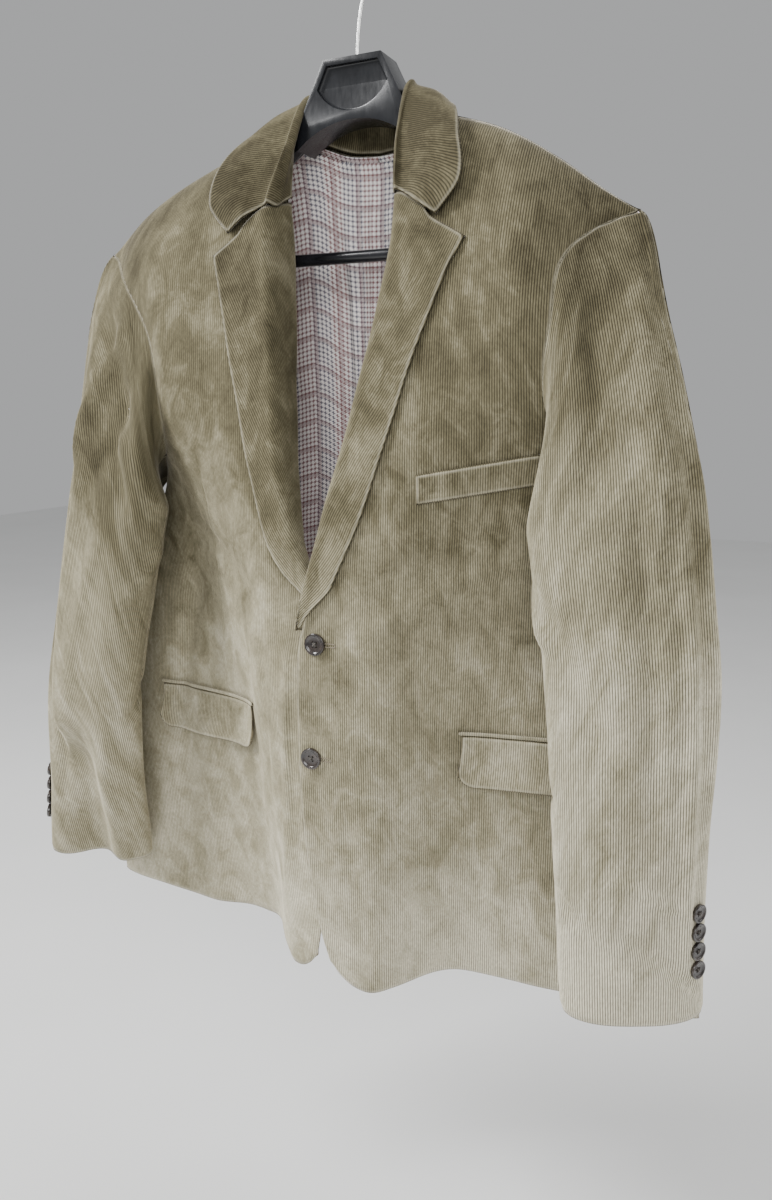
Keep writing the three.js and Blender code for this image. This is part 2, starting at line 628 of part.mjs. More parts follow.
// The sleeve: v up to CAP is the head, from the armhole to the tube, and then the tube to the cuff.
const CAP = 0.36;
const TUBE_TOP = -345;
function sleeveBase(side, q, v) {
  const angle = ringAngle(q);
  if (v >= CAP) return tubePoint(side, angle, lerp(TUBE_TOP, CUFF_DROP, (v - CAP) / (1 - CAP)));
  const h = v / CAP;
  const step = 0.02;
  const start = seamPoint(q);
  const along = unit(minus(armholePoint(q + step), armholePoint(q - step)));
  const low = smooth(-150, -285, start[2]);
  const outOfBody = unit(cross(along, cross([1, 0, 0], along)));
  const { t, drop } = armholePlace(q);
  const [ahead, behind] = [section(t + step, drop), section(t - step, drop)];
  const offBody = unit([ahead[1] - behind[1], behind[0] - ahead[0], 0]);
  const fallen = plus(offBody.map((n) => n * low), [0, 0, -1], 0.25 + 0.35 * low);
  const lead = unit(plus(fallen, outOfBody, 1 - low));
  const end = tubePoint(side, angle, TUBE_TOP);
  const next = tubePoint(side, angle, TUBE_TOP - 10);
  const fall = Math.abs(start[2] - TUBE_TOP);
  const reach = lerp(clamp(fall * 0.5, 14, 80), 80, low);
  const gap = plus(start, lead, SEAM_GAP + 0.4);
  return gap.map((from, i) => ease(from, lead[i] * reach, end[i], ((next[i] - end[i]) / 10) * fall, h));
}

function sleevePoint(side, q, v) {
  const base = sleeveBase(side, q, v);
  const step = 1e-3;
  const du = minus(sleeveBase(side, q + step, v), sleeveBase(side, q - step, v));
  const dv = minus(sleeveBase(side, q, v + step), sleeveBase(side, q, v - step));
  const normal = unit(cross(dv, du));
  const high = foldHeight(side, ringAngle(q), base[2]) * smooth(0, 0.12, v);
  return settled(plus(base, normal, -high), side);
}

function placeOfAngle(angle) {
  let lo = -2;
  let hi = ARMHOLE.length + 2;
  for (let step = 0; step < 40; step++) {
    const mid = (lo + hi) / 2;
    if (ringAngle(mid) < angle) lo = mid;
    else hi = mid;
  }
  return (lo + hi) / 2;
}

// The two pieces of a sleeve, cut along its front and back seams, with a column on each row of
// the armhole.
const TOP_COLUMNS = FRONT_STOPS.slice(0, FRONT_SEAM_ROW + 1);
const UNDER_COLUMNS = [...FRONT_STOPS.slice(FRONT_SEAM_ROW), ...BACK_STOPS.slice(1)];
const SLEEVE_ROWS = [...even(7).map((s) => CAP * Math.pow(s, 1.2)), ...even(12, CAP, 1).slice(1)];

// At the shoulder's tip the inner faces keep to their own side of the seam.
function sleevePiece(name, side, columns) {
  const last = columns.length - 1;
  const place = (q, v) => {
    const step = 0.02;
    const way = minus(sleevePoint(side, q + step, v), sleevePoint(side, q - step, v));
    const half = (SEAM_GAP * step) / Math.hypot(...way);
    return sleevePoint(side, clamp(q, columns[0] + half, columns[last] - half), v);
  };
  const around = (q, v) => sleevePoint(side, q, v);
  const limit = ([x, y, z], face, q, v) => {
    if (v > HEAD_LIMIT) return [x, y, z];
    if (q < 1.2) return [x, Math.min(y, face[1]), z];
    if (q > ARMHOLE.length - 1.2) return [x, Math.max(y, face[1]), z];
    return [x, y, z];
  };
  const look = { facing: -OUTER[side], span: 0.15, around, limit };
  return cloth(name + side, place, columns, SLEEVE_ROWS, look);
}
const HEAD_LIMIT = 0.12;

// The lapel: from the fold forward to the roll, then lying on the front out to its edge.
function lapelPoint(side, s, v) {
  const top = read(GORGE, "s", clamp(s, 0, 1), "drop");
  const drop = lerp(top, LAPEL_FOOT[side], v);
  const value = (column) => read(LAPEL[side], "drop", drop, column);
  const foldX = row(side, drop, "x");
  const [roll, edge] = [value("roll"), value("edge")];
  const surface = (x) => frontY(x, drop) - LIFT + laidBack(side, x, drop);
  const meet = Math.min(roll + ROLL_REACH, lerp(roll, edge, 0.6));
  if (s >= ROLL_SHARE) {
    const x = lerp(meet, edge, (s - ROLL_SHARE) / (1 - ROLL_SHARE));
    return settled([x, surface(x), drop], side);
  }
  const h = s / ROLL_SHARE;
  const inset = row(side, drop, "inset");
  const start = [foldX, surface(foldX) + inset + LIFT * smooth(1, 12, inset)];
  const pull = [roll - 2, surface(roll) - 3];
  const end = [meet, surface(meet)];
  const bend = (i) => (1 - h) * (1 - h) * start[i] + 2 * h * (1 - h) * pull[i] + h * h * end[i];
  return settled([bend(0), bend(1), drop], side);
}

function lapel(side) {
  const columns = [0, 0.1, 0.19, 0.27, 0.34, 0.4, 0.52, 0.64, 0.72, 0.86, 1];
  const place = (u, v) => lapelPoint(side, u, v);
  return cloth("lapel_" + side, place, columns, even(15, 0.0006, 1), { facing: OUTER[side] });
}

// The collar, across from the stand's foot (0) over the roll to the leaf's edge (1).
function collarPoint(w, s) {
  const at = Math.abs(w);
  const value = (column) => read(COLLAR, "at", at, column);
  const foot = [value("fx"), value("fy"), value("foot")];
  const top = [value("rx"), value("ry"), value("roll")];
  const edge = [value("ex"), value("ey"), value("edge")];
  const round = value("round");
  const outward = unit(minus(edge, foot));
  const across = unit(plus(outward, [0, 0, -outward[2]]));
  const drop = smooth(0.6, 1, at);
  const down = unit([0, drop, -1 + 0.6 * drop]);
  const inside = plus(plus(top, across, -round * 0.8), down, round);
  const outside = plus(plus(top, across, round), down, round);
  const lifted = plus(lerp3(top, edge, 0.55), collarLift(across, at), 4);
  const ring = [foot, lerp3(foot, inside, 0.55), inside, top, outside, lifted, edge];
  const [x, y, z] = through(ring, clamp(s, -0.1, 1.1) * 6);
  return settled([Math.abs(x), y, z], w < 0 ? "right" : "left");
}
const lerp3 = (a, b, t) => a.map((v, i) => lerp(v, b[i], t));
const collarLift = ([x, y], at) => unit([x * 0.5, y * 0.5 - smooth(0.6, 0.9, at), 1 - smooth(0.5, 0.9, at)]);

function collar() {
  const reach = 1 - SEAM_GAP / 260;
  const stations = even(26, -reach, reach);
  const across = [0, 1, 2, 2.6, 3, 3.4, 4, 5, 6].map((k) => k / 6);
  return cloth("collar", (u, v) => collarPoint(v, u), across, stations, { facing: 1 });
}

// The depth of a front's own facets at a place, or the smooth surface's just past its edge.
const FACETS = {};
function facetDepth(side, x, z, smoothDepth) {
  const across = (v) => FRONT_COLUMNS.map((u) => panelPoint("front", side, u, v));
  const grid = (FACETS[side] ??= PANEL_ROWS.map(across));
  for (let j = 0; j < grid.length - 1; j++) {
    for (let i = 0; i < FRONT_COLUMNS.length - 1; i++) {
      const [a, b, c, d] = [grid[j][i], grid[j][i + 1], grid[j + 1][i + 1], grid[j + 1][i]];
      for (const [p, q, r] of [[a, b, c], [a, c, d]]) {
        const [qx, qz, rx, rz] = [q[0] - p[0], q[2] - p[2], r[0] - p[0], r[2] - p[2]];
        const whole = qx * rz - qz * rx;
        const m = ((x - p[0]) * rz - (z - p[2]) * rx) / whole;
        const n = (qx * (z - p[2]) - qz * (x - p[0])) / whole;
        if (m >= 0 && n >= 0 && m + n <= 1) return p[1] + m * (q[1] - p[1]) + n * (r[1] - p[1]);
      }
    }
  }
  return smoothDepth;
}

// What lies on a front: a place given by x and drop, moved out from the front's facets.
function onFront(side, x, drop, out) {
  const [worldX, y, z] = settled([x, frontY(x, drop) + laidBack(side, x, drop), drop], side);
  return [worldX, facetDepth(side, worldX, z, y) - out, z];
}

const flapX = (side) => FLAP.x + OUTER[side] * FLAP.lead;

function flap(side) {
  const rounded = (u) => {
    const fromEnd = Math.min(u, 1 - u) * FLAP.width;
    const into = clamp(1 - fromEnd / FLAP.corner, 0, 1);
    return 1 - (FLAP.corner / FLAP.height) * (1 - Math.sqrt(1 - into * into));
  };
  const place = (u, v) => {
    const share = clamp(u, 0, 1);
    const x = flapX(side) + u * FLAP.width;
    const drop = FLAP.drop + FLAP.tilt * u - v * FLAP.height * rounded(share);
    return onFront(side, x, drop, lerp(FLAP_STAND.top, FLAP_STAND.foot, v * v));
  };
  const columns = [0.004, 0.03, 0.07, 0.12, 0.3, 0.5, 0.7, 0.88, 0.93, 0.97, 0.996];
  return cloth("pocket_flap_" + side, place, columns, even(4), { facing: OUTER[side] });
}

function jet(side) {
  const place = (u, v) => {
    const x = flapX(side) - JET.over + u * (FLAP.width + 2 * JET.over);
    const drop = FLAP.drop + FLAP.tilt * u + SEAM_GAP + JET.height * (1 - v);
    return onFront(side, x, drop, JET.stand);
  };
  return cloth("pocket_jet_" + side, place, even(8), even(1), { facing: OUTER[side] });
}

function welt() {
  const place = (u, v) => {
    const x = WELT.x + u * WELT.width;
    const drop = WELT.drop + WELT.rise * u - v * WELT.height;
    return onFront("left", x, drop, WELT.wall + 1.6);
  };
  return cloth("breast_welt", place, even(12), even(3), { thick: WELT.wall });
}

// The back lining hangs inside the back panels, with soft folds at its middle.
const LINING_SIDE = 156;
function backLining() {
  const folds = (x, drop) =>
    5 * Math.exp(-Math.pow((x - 8 - (drop + 60) * 0.05) / 13, 2)) * smooth(-40, -110, drop) +
    4 * Math.exp(-Math.pow((x + 30 + drop * 0.04) / 14, 2)) * smooth(-120, -200, drop);
  const spot = (u, v) => {
    const x = lerp(-LINING_SIDE, LINING_SIDE, u);
    return [x, lerp(topDrop.back(Math.abs(x)) - 5, -762, v)];
  };
  const place = (u, v) => {
    const [x, drop] = spot(u, v);
    const t = sectionPlace(Math.abs(x), drop, 4.6, 7);
    return settled(bodySurface(t, drop), x < 0 ? "right" : "left");
  };
  const lift = (u, v) => -(CLOTH + LINING_LAY + folds(...spot(u, v)));
  const rows = [0, 0.012, 0.028, 0.05, 0.08, ...even(11, 0.12, 1)];
  const look = { thick: LINING, facing: -1, lift, material: LINING_CLOTH };
  return cloth("back_lining", place, even(14), rows, look);
}

// A sewn-on button: a turned disc with a raised rim and a dished middle, on its outward normal.
function button(name, { radius, thick, rim, dish }, centre, outward) {
  const profile = [
    [0, 0],
    [radius - 1.2, 0],
    [radius, thick * 0.45],
    [radius - 0.5, thick],
    [radius - rim, thick],
    [radius - rim - 0.9, thick - dish],
    [0, thick - dish * 1.3],
  ].map(([r, h]) => new THREE.Vector2(r, h));
  const mesh = new THREE.Mesh(new THREE.LatheGeometry(profile, 12), HORN);
  mesh.name = name;
  mesh.position.set(...centre);
  mesh.quaternion.setFromUnitVectors(new THREE.Vector3(0, 1, 0), new THREE.Vector3(...outward));
  return mesh;
}

function frontButtons() {
  const { x, drops } = FRONT_BUTTON;
  return drops.map((drop, i) => {
    const reach = FRONT_BUTTON.radius / 2;
    const depth = (right, up) => onFront("left", x[i] + right, drop + up, 0)[1];
    const slope = (right, up) => (depth(right, up) - depth(-right, -up)) / (2 * reach);
    const outward = unit([slope(reach, 0), -1, slope(0, reach)]);
    const seat = plus(onFront("left", x[i], drop, 0), outward, BUTTON_GAP + 0.25);
    return button("front_button_" + (i + 1), FRONT_BUTTON, seat, outward);
  });
}

function cuffButtons(side) {
  const q = placeOfAngle(BUTTON_RING[side]);
  return range(CUFF_BUTTON.count).map((i) => {
    const drop = CUFF_BUTTON.lowest + i * CUFF_BUTTON.pitch;
    const v = lerp(CAP, 1, (drop - TUBE_TOP) / (CUFF_DROP - TUBE_TOP));
    const step = 0.01;
    const du = minus(sleevePoint(side, q + step, v), sleevePoint(side, q - step, v));
    const dv = minus(sleevePoint(side, q, v + step), sleevePoint(side, q, v - step));
    const outward = unit(cross(du, dv)).map((n) => n * OUTER[side]);
    const seat = plus(sleevePoint(side, q, v), outward, BUTTON_GAP + 0.2);
    return button(`cuff_button_${side}_${i + 1}`, CUFF_BUTTON, seat, outward);
  });
}

// A ring round the hanger's frame at x: the top, down the front, the foot, and up the back. The
// arms keep just inside the shoulders' cloth, and the neck plate has a sunk face.
function clothX(side, worldX, drop) {
  let x = Math.abs(worldX);
  for (let step = 0; step < 20; step++) x = OUTER[side] * (worldX - askew(Math.abs(x), drop));
  return x;
}

function hangerRing(side, { x: reach, high, low, deep, sunk }) {
  const x = clothX(side, OUTER[side] * reach, -60);
  const ridge = shoulderDrop(x) - CLOTH - ARM_CLEAR;
  const top = x < 60 ? high : Math.min(high, ridge);
  const heights = [0.5, 3, 10, 24].map((d) => Math.max(top - d, lerp(top, low, d / 30)));
  const wall = CLOTH + ARM_CLEAR;
  const cover = (z, inner, sign) => {
    if (x < 60) return sign * 99;
    const up = Math.min(z + wall + 1, shoulderDrop(x));
    return sign > 0 ? Math.min(inner(z) - wall, inner(up) - 1) : Math.max(inner(z) + wall, inner(up) + 1);
  };
  const inFront = (z) => frontSurface("left", frontPlace(x, z), z)[1];
  const behind = (z) => bodySurface(sectionPlace(x, z, 4.05, 7), z)[1] - LINING - LINING_LAY - 2;
  const frontAt = (z, limit) => clamp(cover(z, inFront, -1), HANGER_Y - limit, HANGER_Y - 1);
  const backAt = (z, limit) => clamp(cover(z, behind, 1), HANGER_Y + 1, HANGER_Y + limit);
  const limits = [deep - RIM, deep, deep - sunk, deep - sunk];
  const fronts = heights.map((z, i) => [frontAt(z, limits[i]), z]);
  const backs = heights.map((z, i) => [backAt(z, i ? deep : deep - RIM), z]);
  const half = deep - RIM * 0.4;
  const foot = [[HANGER_Y - half, low + RIM], [HANGER_Y, low], [HANGER_Y + half, low + RIM]];
  const ring = [[HANGER_Y, top], ...fronts, ...foot, ...backs.reverse()];
  return ring.map(([y, z]) => [OUTER[side] * reach, y, z + NECK_Z]);
}

function hangerFrame() {
  const right = HANGER.slice(1).reverse().map((r) => hangerRing("right", r));
  return loft("hanger_frame", [...right, ...HANGER.map((r) => hangerRing("left", r))], PLASTIC);
}

// A round bar or wire: a ring of points about each place on its line.
function rod(name, line, radius, sides, material) {
  const rings = line.map((p, i) => {
    const along = unit(minus(line[Math.min(i + 1, line.length - 1)], line[Math.max(i - 1, 0)]));
    const across = unit(cross(along, [0, 1, 0]));
    return range(sides).map((k) => {
      const a = (k / sides) * 2 * Math.PI;
      return plus(plus(p, across, -radius * Math.cos(a)), [0, 1, 0], radius * Math.sin(a));
    });
  });
  return loft(name, rings, material);
}

function trouserBar() {
  const reach = HANGER.find((r) => r.low < -110).x - BAR.gap - 0.6;
  const ends = [-reach, reach].map((x) => [x, HANGER_Y, BAR.drop + NECK_Z]);
  const line = even(8).map((s) => lerp3(ends[0], ends[1], s));
  return rod("trouser_bar", line, BAR.radius, BAR.sides, PLASTIC);
}

// The hook leaves the plate with a lean to one side, and its crown is over the plate's middle.
function hook() {
  const { wire, root, bend, lean, tipAngle, sides } = HOOK;
  const reach = bend + wire;
  const centreZ = -bend;
  const rise = even(8).map((s) => {
    const z = lerp(root + NECK_Z, centreZ, s);
    return [lean * 0.4 * s + (reach - lean * 0.4) * Math.pow(s, 2.6), 0, z];
  });
  const turns = even(16, 0, tipAngle).slice(1);
  const arc = turns.map((a) => [reach * Math.cos(radians(a)), 0, centreZ + reach * Math.sin(radians(a))]);
  return rod("hook", [...rise, ...arc], wire, sides, STEEL);
}

function loft(name, rings, material) {
  const sides = rings[0].length;
  const points = rings.flat();
  const index = [];
  for (let j = 0; j < rings.length - 1; j++) {
    for (let i = 0; i < sides; i++) {
      const [a, b] = [j * sides + i, j * sides + ((i + 1) % sides)];
      index.push(a, b, b + sides, a, b + sides, a + sides);
    }
  }
  const cap = (start, turned) => {
    for (let i = 1; i < sides - 1; i++) {
      index.push(start, turned ? start + i + 1 : start + i, turned ? start + i : start + i + 1);
    }
  };
  cap(0, true);
  cap((rings.length - 1) * sides, false);
  const geometry = new THREE.BufferGeometry();
  geometry.setAttribute("position", new THREE.BufferAttribute(new Float32Array(points.flat()), 3));
  geometry.setIndex(index);
  geometry.computeVertexNormals();
  const mesh = new THREE.Mesh(geometry, material);
  mesh.name = name;
  return mesh;
}

const group = new THREE.Group();
for (const side of ["left", "right"]) {
  group.add(front(side), back(side), lapel(side), flap(side), jet(side));
  group.add(sleevePiece("top_sleeve_", side, TOP_COLUMNS));
  group.add(sleevePiece("under_sleeve_", side, UNDER_COLUMNS));
  group.add(...cuffButtons(side));
}
group.add(collar(), welt(), backLining(), ...frontButtons(), hangerFrame(), trouserBar(), hook());

export default group;
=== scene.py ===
import math

import bmesh
import bpy
import numpy as np
from mathutils import Matrix, Vector


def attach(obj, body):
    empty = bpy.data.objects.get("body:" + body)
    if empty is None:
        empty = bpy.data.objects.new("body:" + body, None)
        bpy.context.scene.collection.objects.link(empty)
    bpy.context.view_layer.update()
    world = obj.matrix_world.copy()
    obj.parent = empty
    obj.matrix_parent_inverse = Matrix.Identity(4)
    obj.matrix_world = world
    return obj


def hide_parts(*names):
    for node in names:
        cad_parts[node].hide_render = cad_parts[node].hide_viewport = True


# A corduroy jacket, buttoned and hung on a moulded suit hanger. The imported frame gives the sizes,
# in metres with +Z up, and the cloth is set out here in millimetres and scaled as it is made.
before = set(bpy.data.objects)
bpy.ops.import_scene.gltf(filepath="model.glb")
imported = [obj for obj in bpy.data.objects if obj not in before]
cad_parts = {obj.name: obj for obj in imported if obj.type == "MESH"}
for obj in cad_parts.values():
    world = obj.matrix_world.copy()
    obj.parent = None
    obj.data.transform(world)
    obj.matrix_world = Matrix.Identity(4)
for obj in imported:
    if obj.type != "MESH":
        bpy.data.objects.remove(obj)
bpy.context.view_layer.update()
MM = 0.001


# The camera stands before the jacket's left front, a little above its middle, and looks down at it.
CAMERA_PLACE = (0.4102, -0.8033, -0.3928)
LENS = 28.05
LOOK_RIGHT = Vector((0.90262, 0.43042, -0.0031))
LOOK_UP = Vector((-0.08754, 0.19063, 0.97775))
LOOK_AHEAD = Vector((-0.42144, 0.88227, -0.20975))

camera_data = bpy.data.cameras.new("camera")
camera_data.sensor_fit = "VERTICAL"
camera_data.sensor_height = 36
camera_data.lens = LENS
camera = bpy.data.objects.new("camera", camera_data)
turn = Matrix((LOOK_RIGHT, LOOK_UP, -LOOK_AHEAD)).transposed().to_4x4()
camera.matrix_world = Matrix.Translation(CAMERA_PLACE) @ turn
bpy.context.scene.collection.objects.link(camera)
bpy.context.scene.camera = camera


# The fronts: two panels of cotton corduroy, cut with the wales upright, darted from the chest to
# the pocket and lapped left over right. The edges are turned and the hem rounds away at the front.
NECK_Z = -158
CLOTH = 2.4
SEAM_GAP = 0.32
LIFT = 4
RIDGE_Y = 3
RIDGE_ROUND = 110
NECK_ROUND = 45
SHIFT_HIGH = -18
SHIFT_LOW = 7
CREST_X = 60
DIP_X = 115
FLANK_X = 191
BACK_X = 195
SIDES = {"left": 1, "right": -1}


def table(columns, *rows):
    return dict(zip(columns.split(), np.array(rows, float).T))


BODY = table(
    "drop centre crest dip flank wide side rear back",
    (-60, -54, -54, -56, -60, 270, 3, 50, 50),
    (-100, -58, -58, -60, -66, 270, 4, 54, 52),
    (-180, -70, -71, -73, -72, 264, 8, 58, 55),
    (-240, -78, -79, -78, -64, 250, 12, 60, 57),
    (-280, -83, -84, -77, -51, 240, 13, 61, 58),
    (-310, -86, -85, -74, -37, 238, 8, 61, 58),
    (-350, -90, -87, -69, -21, 250, 3, 61, 58),
    (-400, -95, -90, -62, -13, 278, 4, 61, 58),
    (-450, -99, -92, -55, -11, 300, 6, 61, 58),
    (-540, -101, -91, -43, -20, 318, 6, 62, 58),
    (-660, -97, -89, -35, -14, 328, 6, 63, 60),
    (-800, -89, -84, -25, -9, 336, 6, 64, 62),
)
RIGHT_SLACK = table("drop crest dip", (-500, 0, 0), (-620, 9, 6), (-800, 28, 12))
UNDERLAP = table(
    "drop deep", (-360, 0), (-392, 9), (-405, 10.5), (-440, 10.5), (-475, 4), (-800, 3.4)
)
SHOULDER = table(
    "x drop",
    (-30, 14), (40, 12), (78, 5), (97, 1), (135, -12),
    (170, -27), (212, -49), (245, -71), (270, -87), (330, -120),
)
HEM = table(
    "x drop",
    (-1, -766), (9, -771), (18, -781), (32, -790), (50, -794),
    (70, -788), (95, -784), (141, -791), (190, -794), (330, -792),
)
HEM_BACK = -792
NECKLINE = table("x drop", (0, -12), (30, -9), (62, 2), (78, 4))
NECK_X = 78
EDGE = {
    "left": table(
        "drop x inset",
        (4, 78, 0), (-30, 62, 6), (-60, 54, 24), (-110, 50, 32), (-186, 39, 32),
        (-252, 25, 27), (-323, 8, 16), (-393, -7, 3), (-440, -14, 0), (-480, -17, 0),
        (-600, -16, 0), (-660, -12, 0), (-710, -5, 0), (-745, 1, 0), (-770, 8, 0),
    ),
    "right": table(
        "drop x inset",
        (4, 78, 0), (-30, 62, 6), (-60, 55, 24), (-110, 51, 34), (-186, 48, 38),
        (-252, 42, 36), (-323, 30, 26), (-393, 8, 8), (-440, -8, 1), (-480, -14, 0),
        (-600, -14, 0), (-660, -10, 0), (-710, -3, 0), (-745, 3, 0), (-770, 8, 0),
    ),
}
EDGE_TOP = 4
EDGE_FOOT = -770
INSET_WIDTH = 24
ARMHOLE = table(
    "t drop ring",
    (4.0, -89, 6), (3.66, -96, 36), (3.4, -114, 62), (3.2, -142, 90), (3.06, -180, 118),
    (3.0, -222, 144), (3.1, -260, 172), (3.42, -288, 210), (4.0, -302, 252),
    (4.46, -288, 280), (4.76, -255, 300), (4.84, -208, 317), (4.78, -152, 332),
    (4.56, -115, 346), (4.28, -97, 357),
)
ARMHOLE_ROWS = 15
LOW_ROW = 8
ARMPIT = -302
PIT = 0.42
SIDE_SHARE = 0.004
FOLD_GAP = 3.2
UPRIGHT = {"front": 3.55, "back": 4.5}
HALVINGS = 24
SETTLINGS = 16


def lerp(a, b, share):
    return a + (b - a) * share


def smooth(start, end, value):
    share = np.clip((value - start) / (end - start), 0, 1)
    return share * share * (3 - 2 * share)


def ease(start, slope_start, end, slope_end, share):
    s2 = share * share
    s3 = s2 * share
    ends = (2 * s3 - 3 * s2 + 1) * start + (3 * s2 - 2 * s3) * end
    return ends + (s3 - 2 * s2 + share) * slope_start + (s3 - s2) * slope_end


def read(rows, key, at, column):
    keys, values = rows[key], rows[column]
    if keys[0] > keys[-1]:
        keys, values = keys[::-1], values[::-1]
    last = len(keys) - 1
    i = np.clip(np.searchsorted(keys, at, side="right") - 1, 0, last - 1)
    before, after = np.maximum(i - 1, 0), np.minimum(i + 2, last)
    span = keys[i + 1] - keys[i]
    slope_start = (values[i + 1] - values[before]) * span / (keys[i + 1] - keys[before])
    slope_end = (values[after] - values[i]) * span / (keys[after] - keys[i])
    share = np.clip((at - keys[i]) / span, 0, 1)
    return ease(values[i], slope_start, values[i + 1], slope_end, share)


def through(points, at, closed=False):
    at = np.asarray(at, float)
    points = [np.broadcast_to(p, at.shape) for p in points]
    stack = np.stack(points)
    count = len(points)
    i = np.floor(at).astype(int)
    if not closed:
        i = np.clip(i, 0, count - 2)
    share = at - i

    def pick(step):
        k = (i + step) % count if closed else np.clip(i + step, 0, count - 1)
        return np.take_along_axis(stack, k[None], 0)[0]

    start, end = pick(0), pick(1)
    return ease(start, (end - pick(-1)) / 2, end, (pick(2) - start) / 2, share)


def section(t, drop):
    t, drop = np.broadcast_arrays(np.asarray(t, float), np.asarray(drop, float))
    depth = {c: read(BODY, "drop", drop, c) for c in BODY if c != "drop"}
    xs = [-DIP_X, -CREST_X, 0, CREST_X, DIP_X, FLANK_X, depth["wide"]]
    xs += [BACK_X, BACK_X / 2, 0, -BACK_X / 2]
    order = ["dip", "crest", "centre", "crest", "dip", "flank", "side"]
    ys = [depth[c] for c in order + ["rear", "back", "back", "back"]]
    return through(xs, t + 2), through(ys, t + 2)


def shoulder_drop(x):
    return read(SHOULDER, "x", x, "drop")


def body_surface(t, drop):
    x, depth = section(t, drop)
    near_neck = lerp(NECK_ROUND, RIDGE_ROUND, smooth(40, 110, np.abs(x)))
    rounding = np.where(t > 4, near_neck, RIDGE_ROUND)
    below = np.clip((shoulder_drop(x) - drop) / rounding, 0, 1)
    share = (1 - (1 - below) ** 2) ** 0.6
    ridge = RIDGE_Y + np.sign(t - 4) * SEAM_GAP / 2
    return x, lerp(ridge, depth, share)


def section_place(x, drop, start, end):
    x, drop = np.broadcast_arrays(np.asarray(x, float), np.asarray(drop, float))
    low, high = np.full(x.shape, float(start)), np.full(x.shape, float(end))
    rising = section(high, drop)[0] > section(low, drop)[0]
    for _ in range(HALVINGS):
        middle = (low + high) / 2
        under = (section(middle, drop)[0] < x) == rising
        low, high = np.where(under, middle, low), np.where(under, high, middle)
    return (low + high) / 2


def front_place(x, drop):
    return section_place(x, drop, -1.5, 3.95)


def laid_back(side, x, drop):
    if side == "left":
        return np.zeros(np.broadcast(x, drop).shape)
    under = read(UNDERLAP, "drop", drop, "deep") * (1 - smooth(26, 70, x))
    crest = read(RIGHT_SLACK, "drop", drop, "crest") * smooth(10, 75, x)
    dip = read(RIGHT_SLACK, "drop", drop, "dip") * smooth(80, 120, x)
    return under + crest * (1 - smooth(80, 120, x)) + dip * (1 - smooth(140, 200, x))


def front_surface(side, t, drop):
    x, y = body_surface(t, drop)
    from_fold = (x - read(EDGE[side], "drop", drop, "x")) / INSET_WIDTH
    inset = read(EDGE[side], "drop", drop, "inset") * np.exp(-from_fold * from_fold)
    return x, y + inset + laid_back(side, x, drop)


def askew(x, z):
    high = SHIFT_HIGH * smooth(120, 240, x)
    low = SHIFT_LOW * smooth(0, 200, x)
    rise = lerp(smooth(-190, -90, z), smooth(-320, -130, z), smooth(191, 245, x))
    return lerp(low, high, rise)


def settled(x, y, z, side):
    x, y, z = np.broadcast_arrays(x, y, z)
    return np.stack([SIDES[side] * x + askew(np.abs(x), z), y, z + NECK_Z], -1)


def armhole_place(q):
    t = through(ARMHOLE["t"], q, closed=True)
    drop = through(ARMHOLE["drop"], q, closed=True)
    return t, np.minimum(drop, shoulder_drop(section(t, drop)[0]))


def outer_end(half, v):
    gap = (-1 if half == "front" else 1) * SIDE_SHARE
    share = np.clip(v / PIT, 0, 1)
    q = LOW_ROW * share if half == "front" else ARMHOLE_ROWS - (ARMHOLE_ROWS - LOW_ROW) * share
    t, drop = armhole_place(q)
    below = v >= PIT
    t = np.where(below, 4 + gap, t + gap * smooth(0.9, 1, share))
    return t, np.where(below, lerp(ARMPIT, HEM_BACK, (v - PIT) / (1 - PIT)), drop)


def inner_end(half, side, v):
    if half == "back":
        return np.full(v.shape, 7 - SEAM_GAP / 300), lerp(NECKLINE["drop"][0], HEM_BACK, v)
    drop = lerp(EDGE_TOP, EDGE_FOOT, v)
    x = read(EDGE[side], "drop", drop, "x") + FOLD_GAP * smooth(-445, -435, drop)
    return front_place(x, drop), drop


def top_drop(half, x):
    if half == "front":
        return shoulder_drop(x)
    return np.where(x < NECK_X, read(NECKLINE, "x", np.abs(x), "drop"), shoulder_drop(x))


def hem_drop(half, x):
    return read(HEM, "x", x, "drop") if half == "front" else np.full(x.shape, float(HEM_BACK))


def panel_place(half, side, u, v):
    u, v = np.asarray(u, float), np.asarray(v, float)

    def blend(along, down):
        inner_t, inner_drop = inner_end(half, side, down)
        outer_t, outer_drop = outer_end(half, down)
        upright = UPRIGHT[half]
        t = lerp(inner_t, upright, along) + (outer_t - upright) * along**4
        return t, lerp(inner_drop, outer_drop, along)

    def correction(down, wanted):
        t, start = blend(u, np.full(u.shape, float(down)))
        drop = start
        for _ in range(SETTLINGS):
            drop = wanted(half, section(t, drop)[0])
        return drop - start

    t, drop = blend(u, v)
    drop = drop + correction(0, top_drop) * (1 - smooth(0, PIT, v)) ** 1.5
    return t, drop + correction(1, hem_drop) * smooth(0.72, 1, v)


# The creases of a piece: each row runs from one place to another, with its half width, its
# height out of the cloth and how far it bows aside.
def creases(rows, a, b):
    height = np.zeros(np.broadcast(a, b).shape)
    for a0, b0, a1, b1, half, high, bow in rows:
        way = np.array([a1 - a0, b1 - b0], float)
        long = np.hypot(*way)
        along = ((a - a0) * way[0] + (b - b0) * way[1]) / long**2
        off = ((a - a0) * way[1] - (b - b0) * way[0]) / long - bow * 4 * along * (1 - along)
        width = half * (0.75 + 0.25 * np.sin(along * 5.1 + high))
        fade = smooth(-0.12, 0.22, along) * (1 - smooth(0.72, 1.12, along))
        height += high * fade * np.exp(-((off / width) ** 2))
    return height


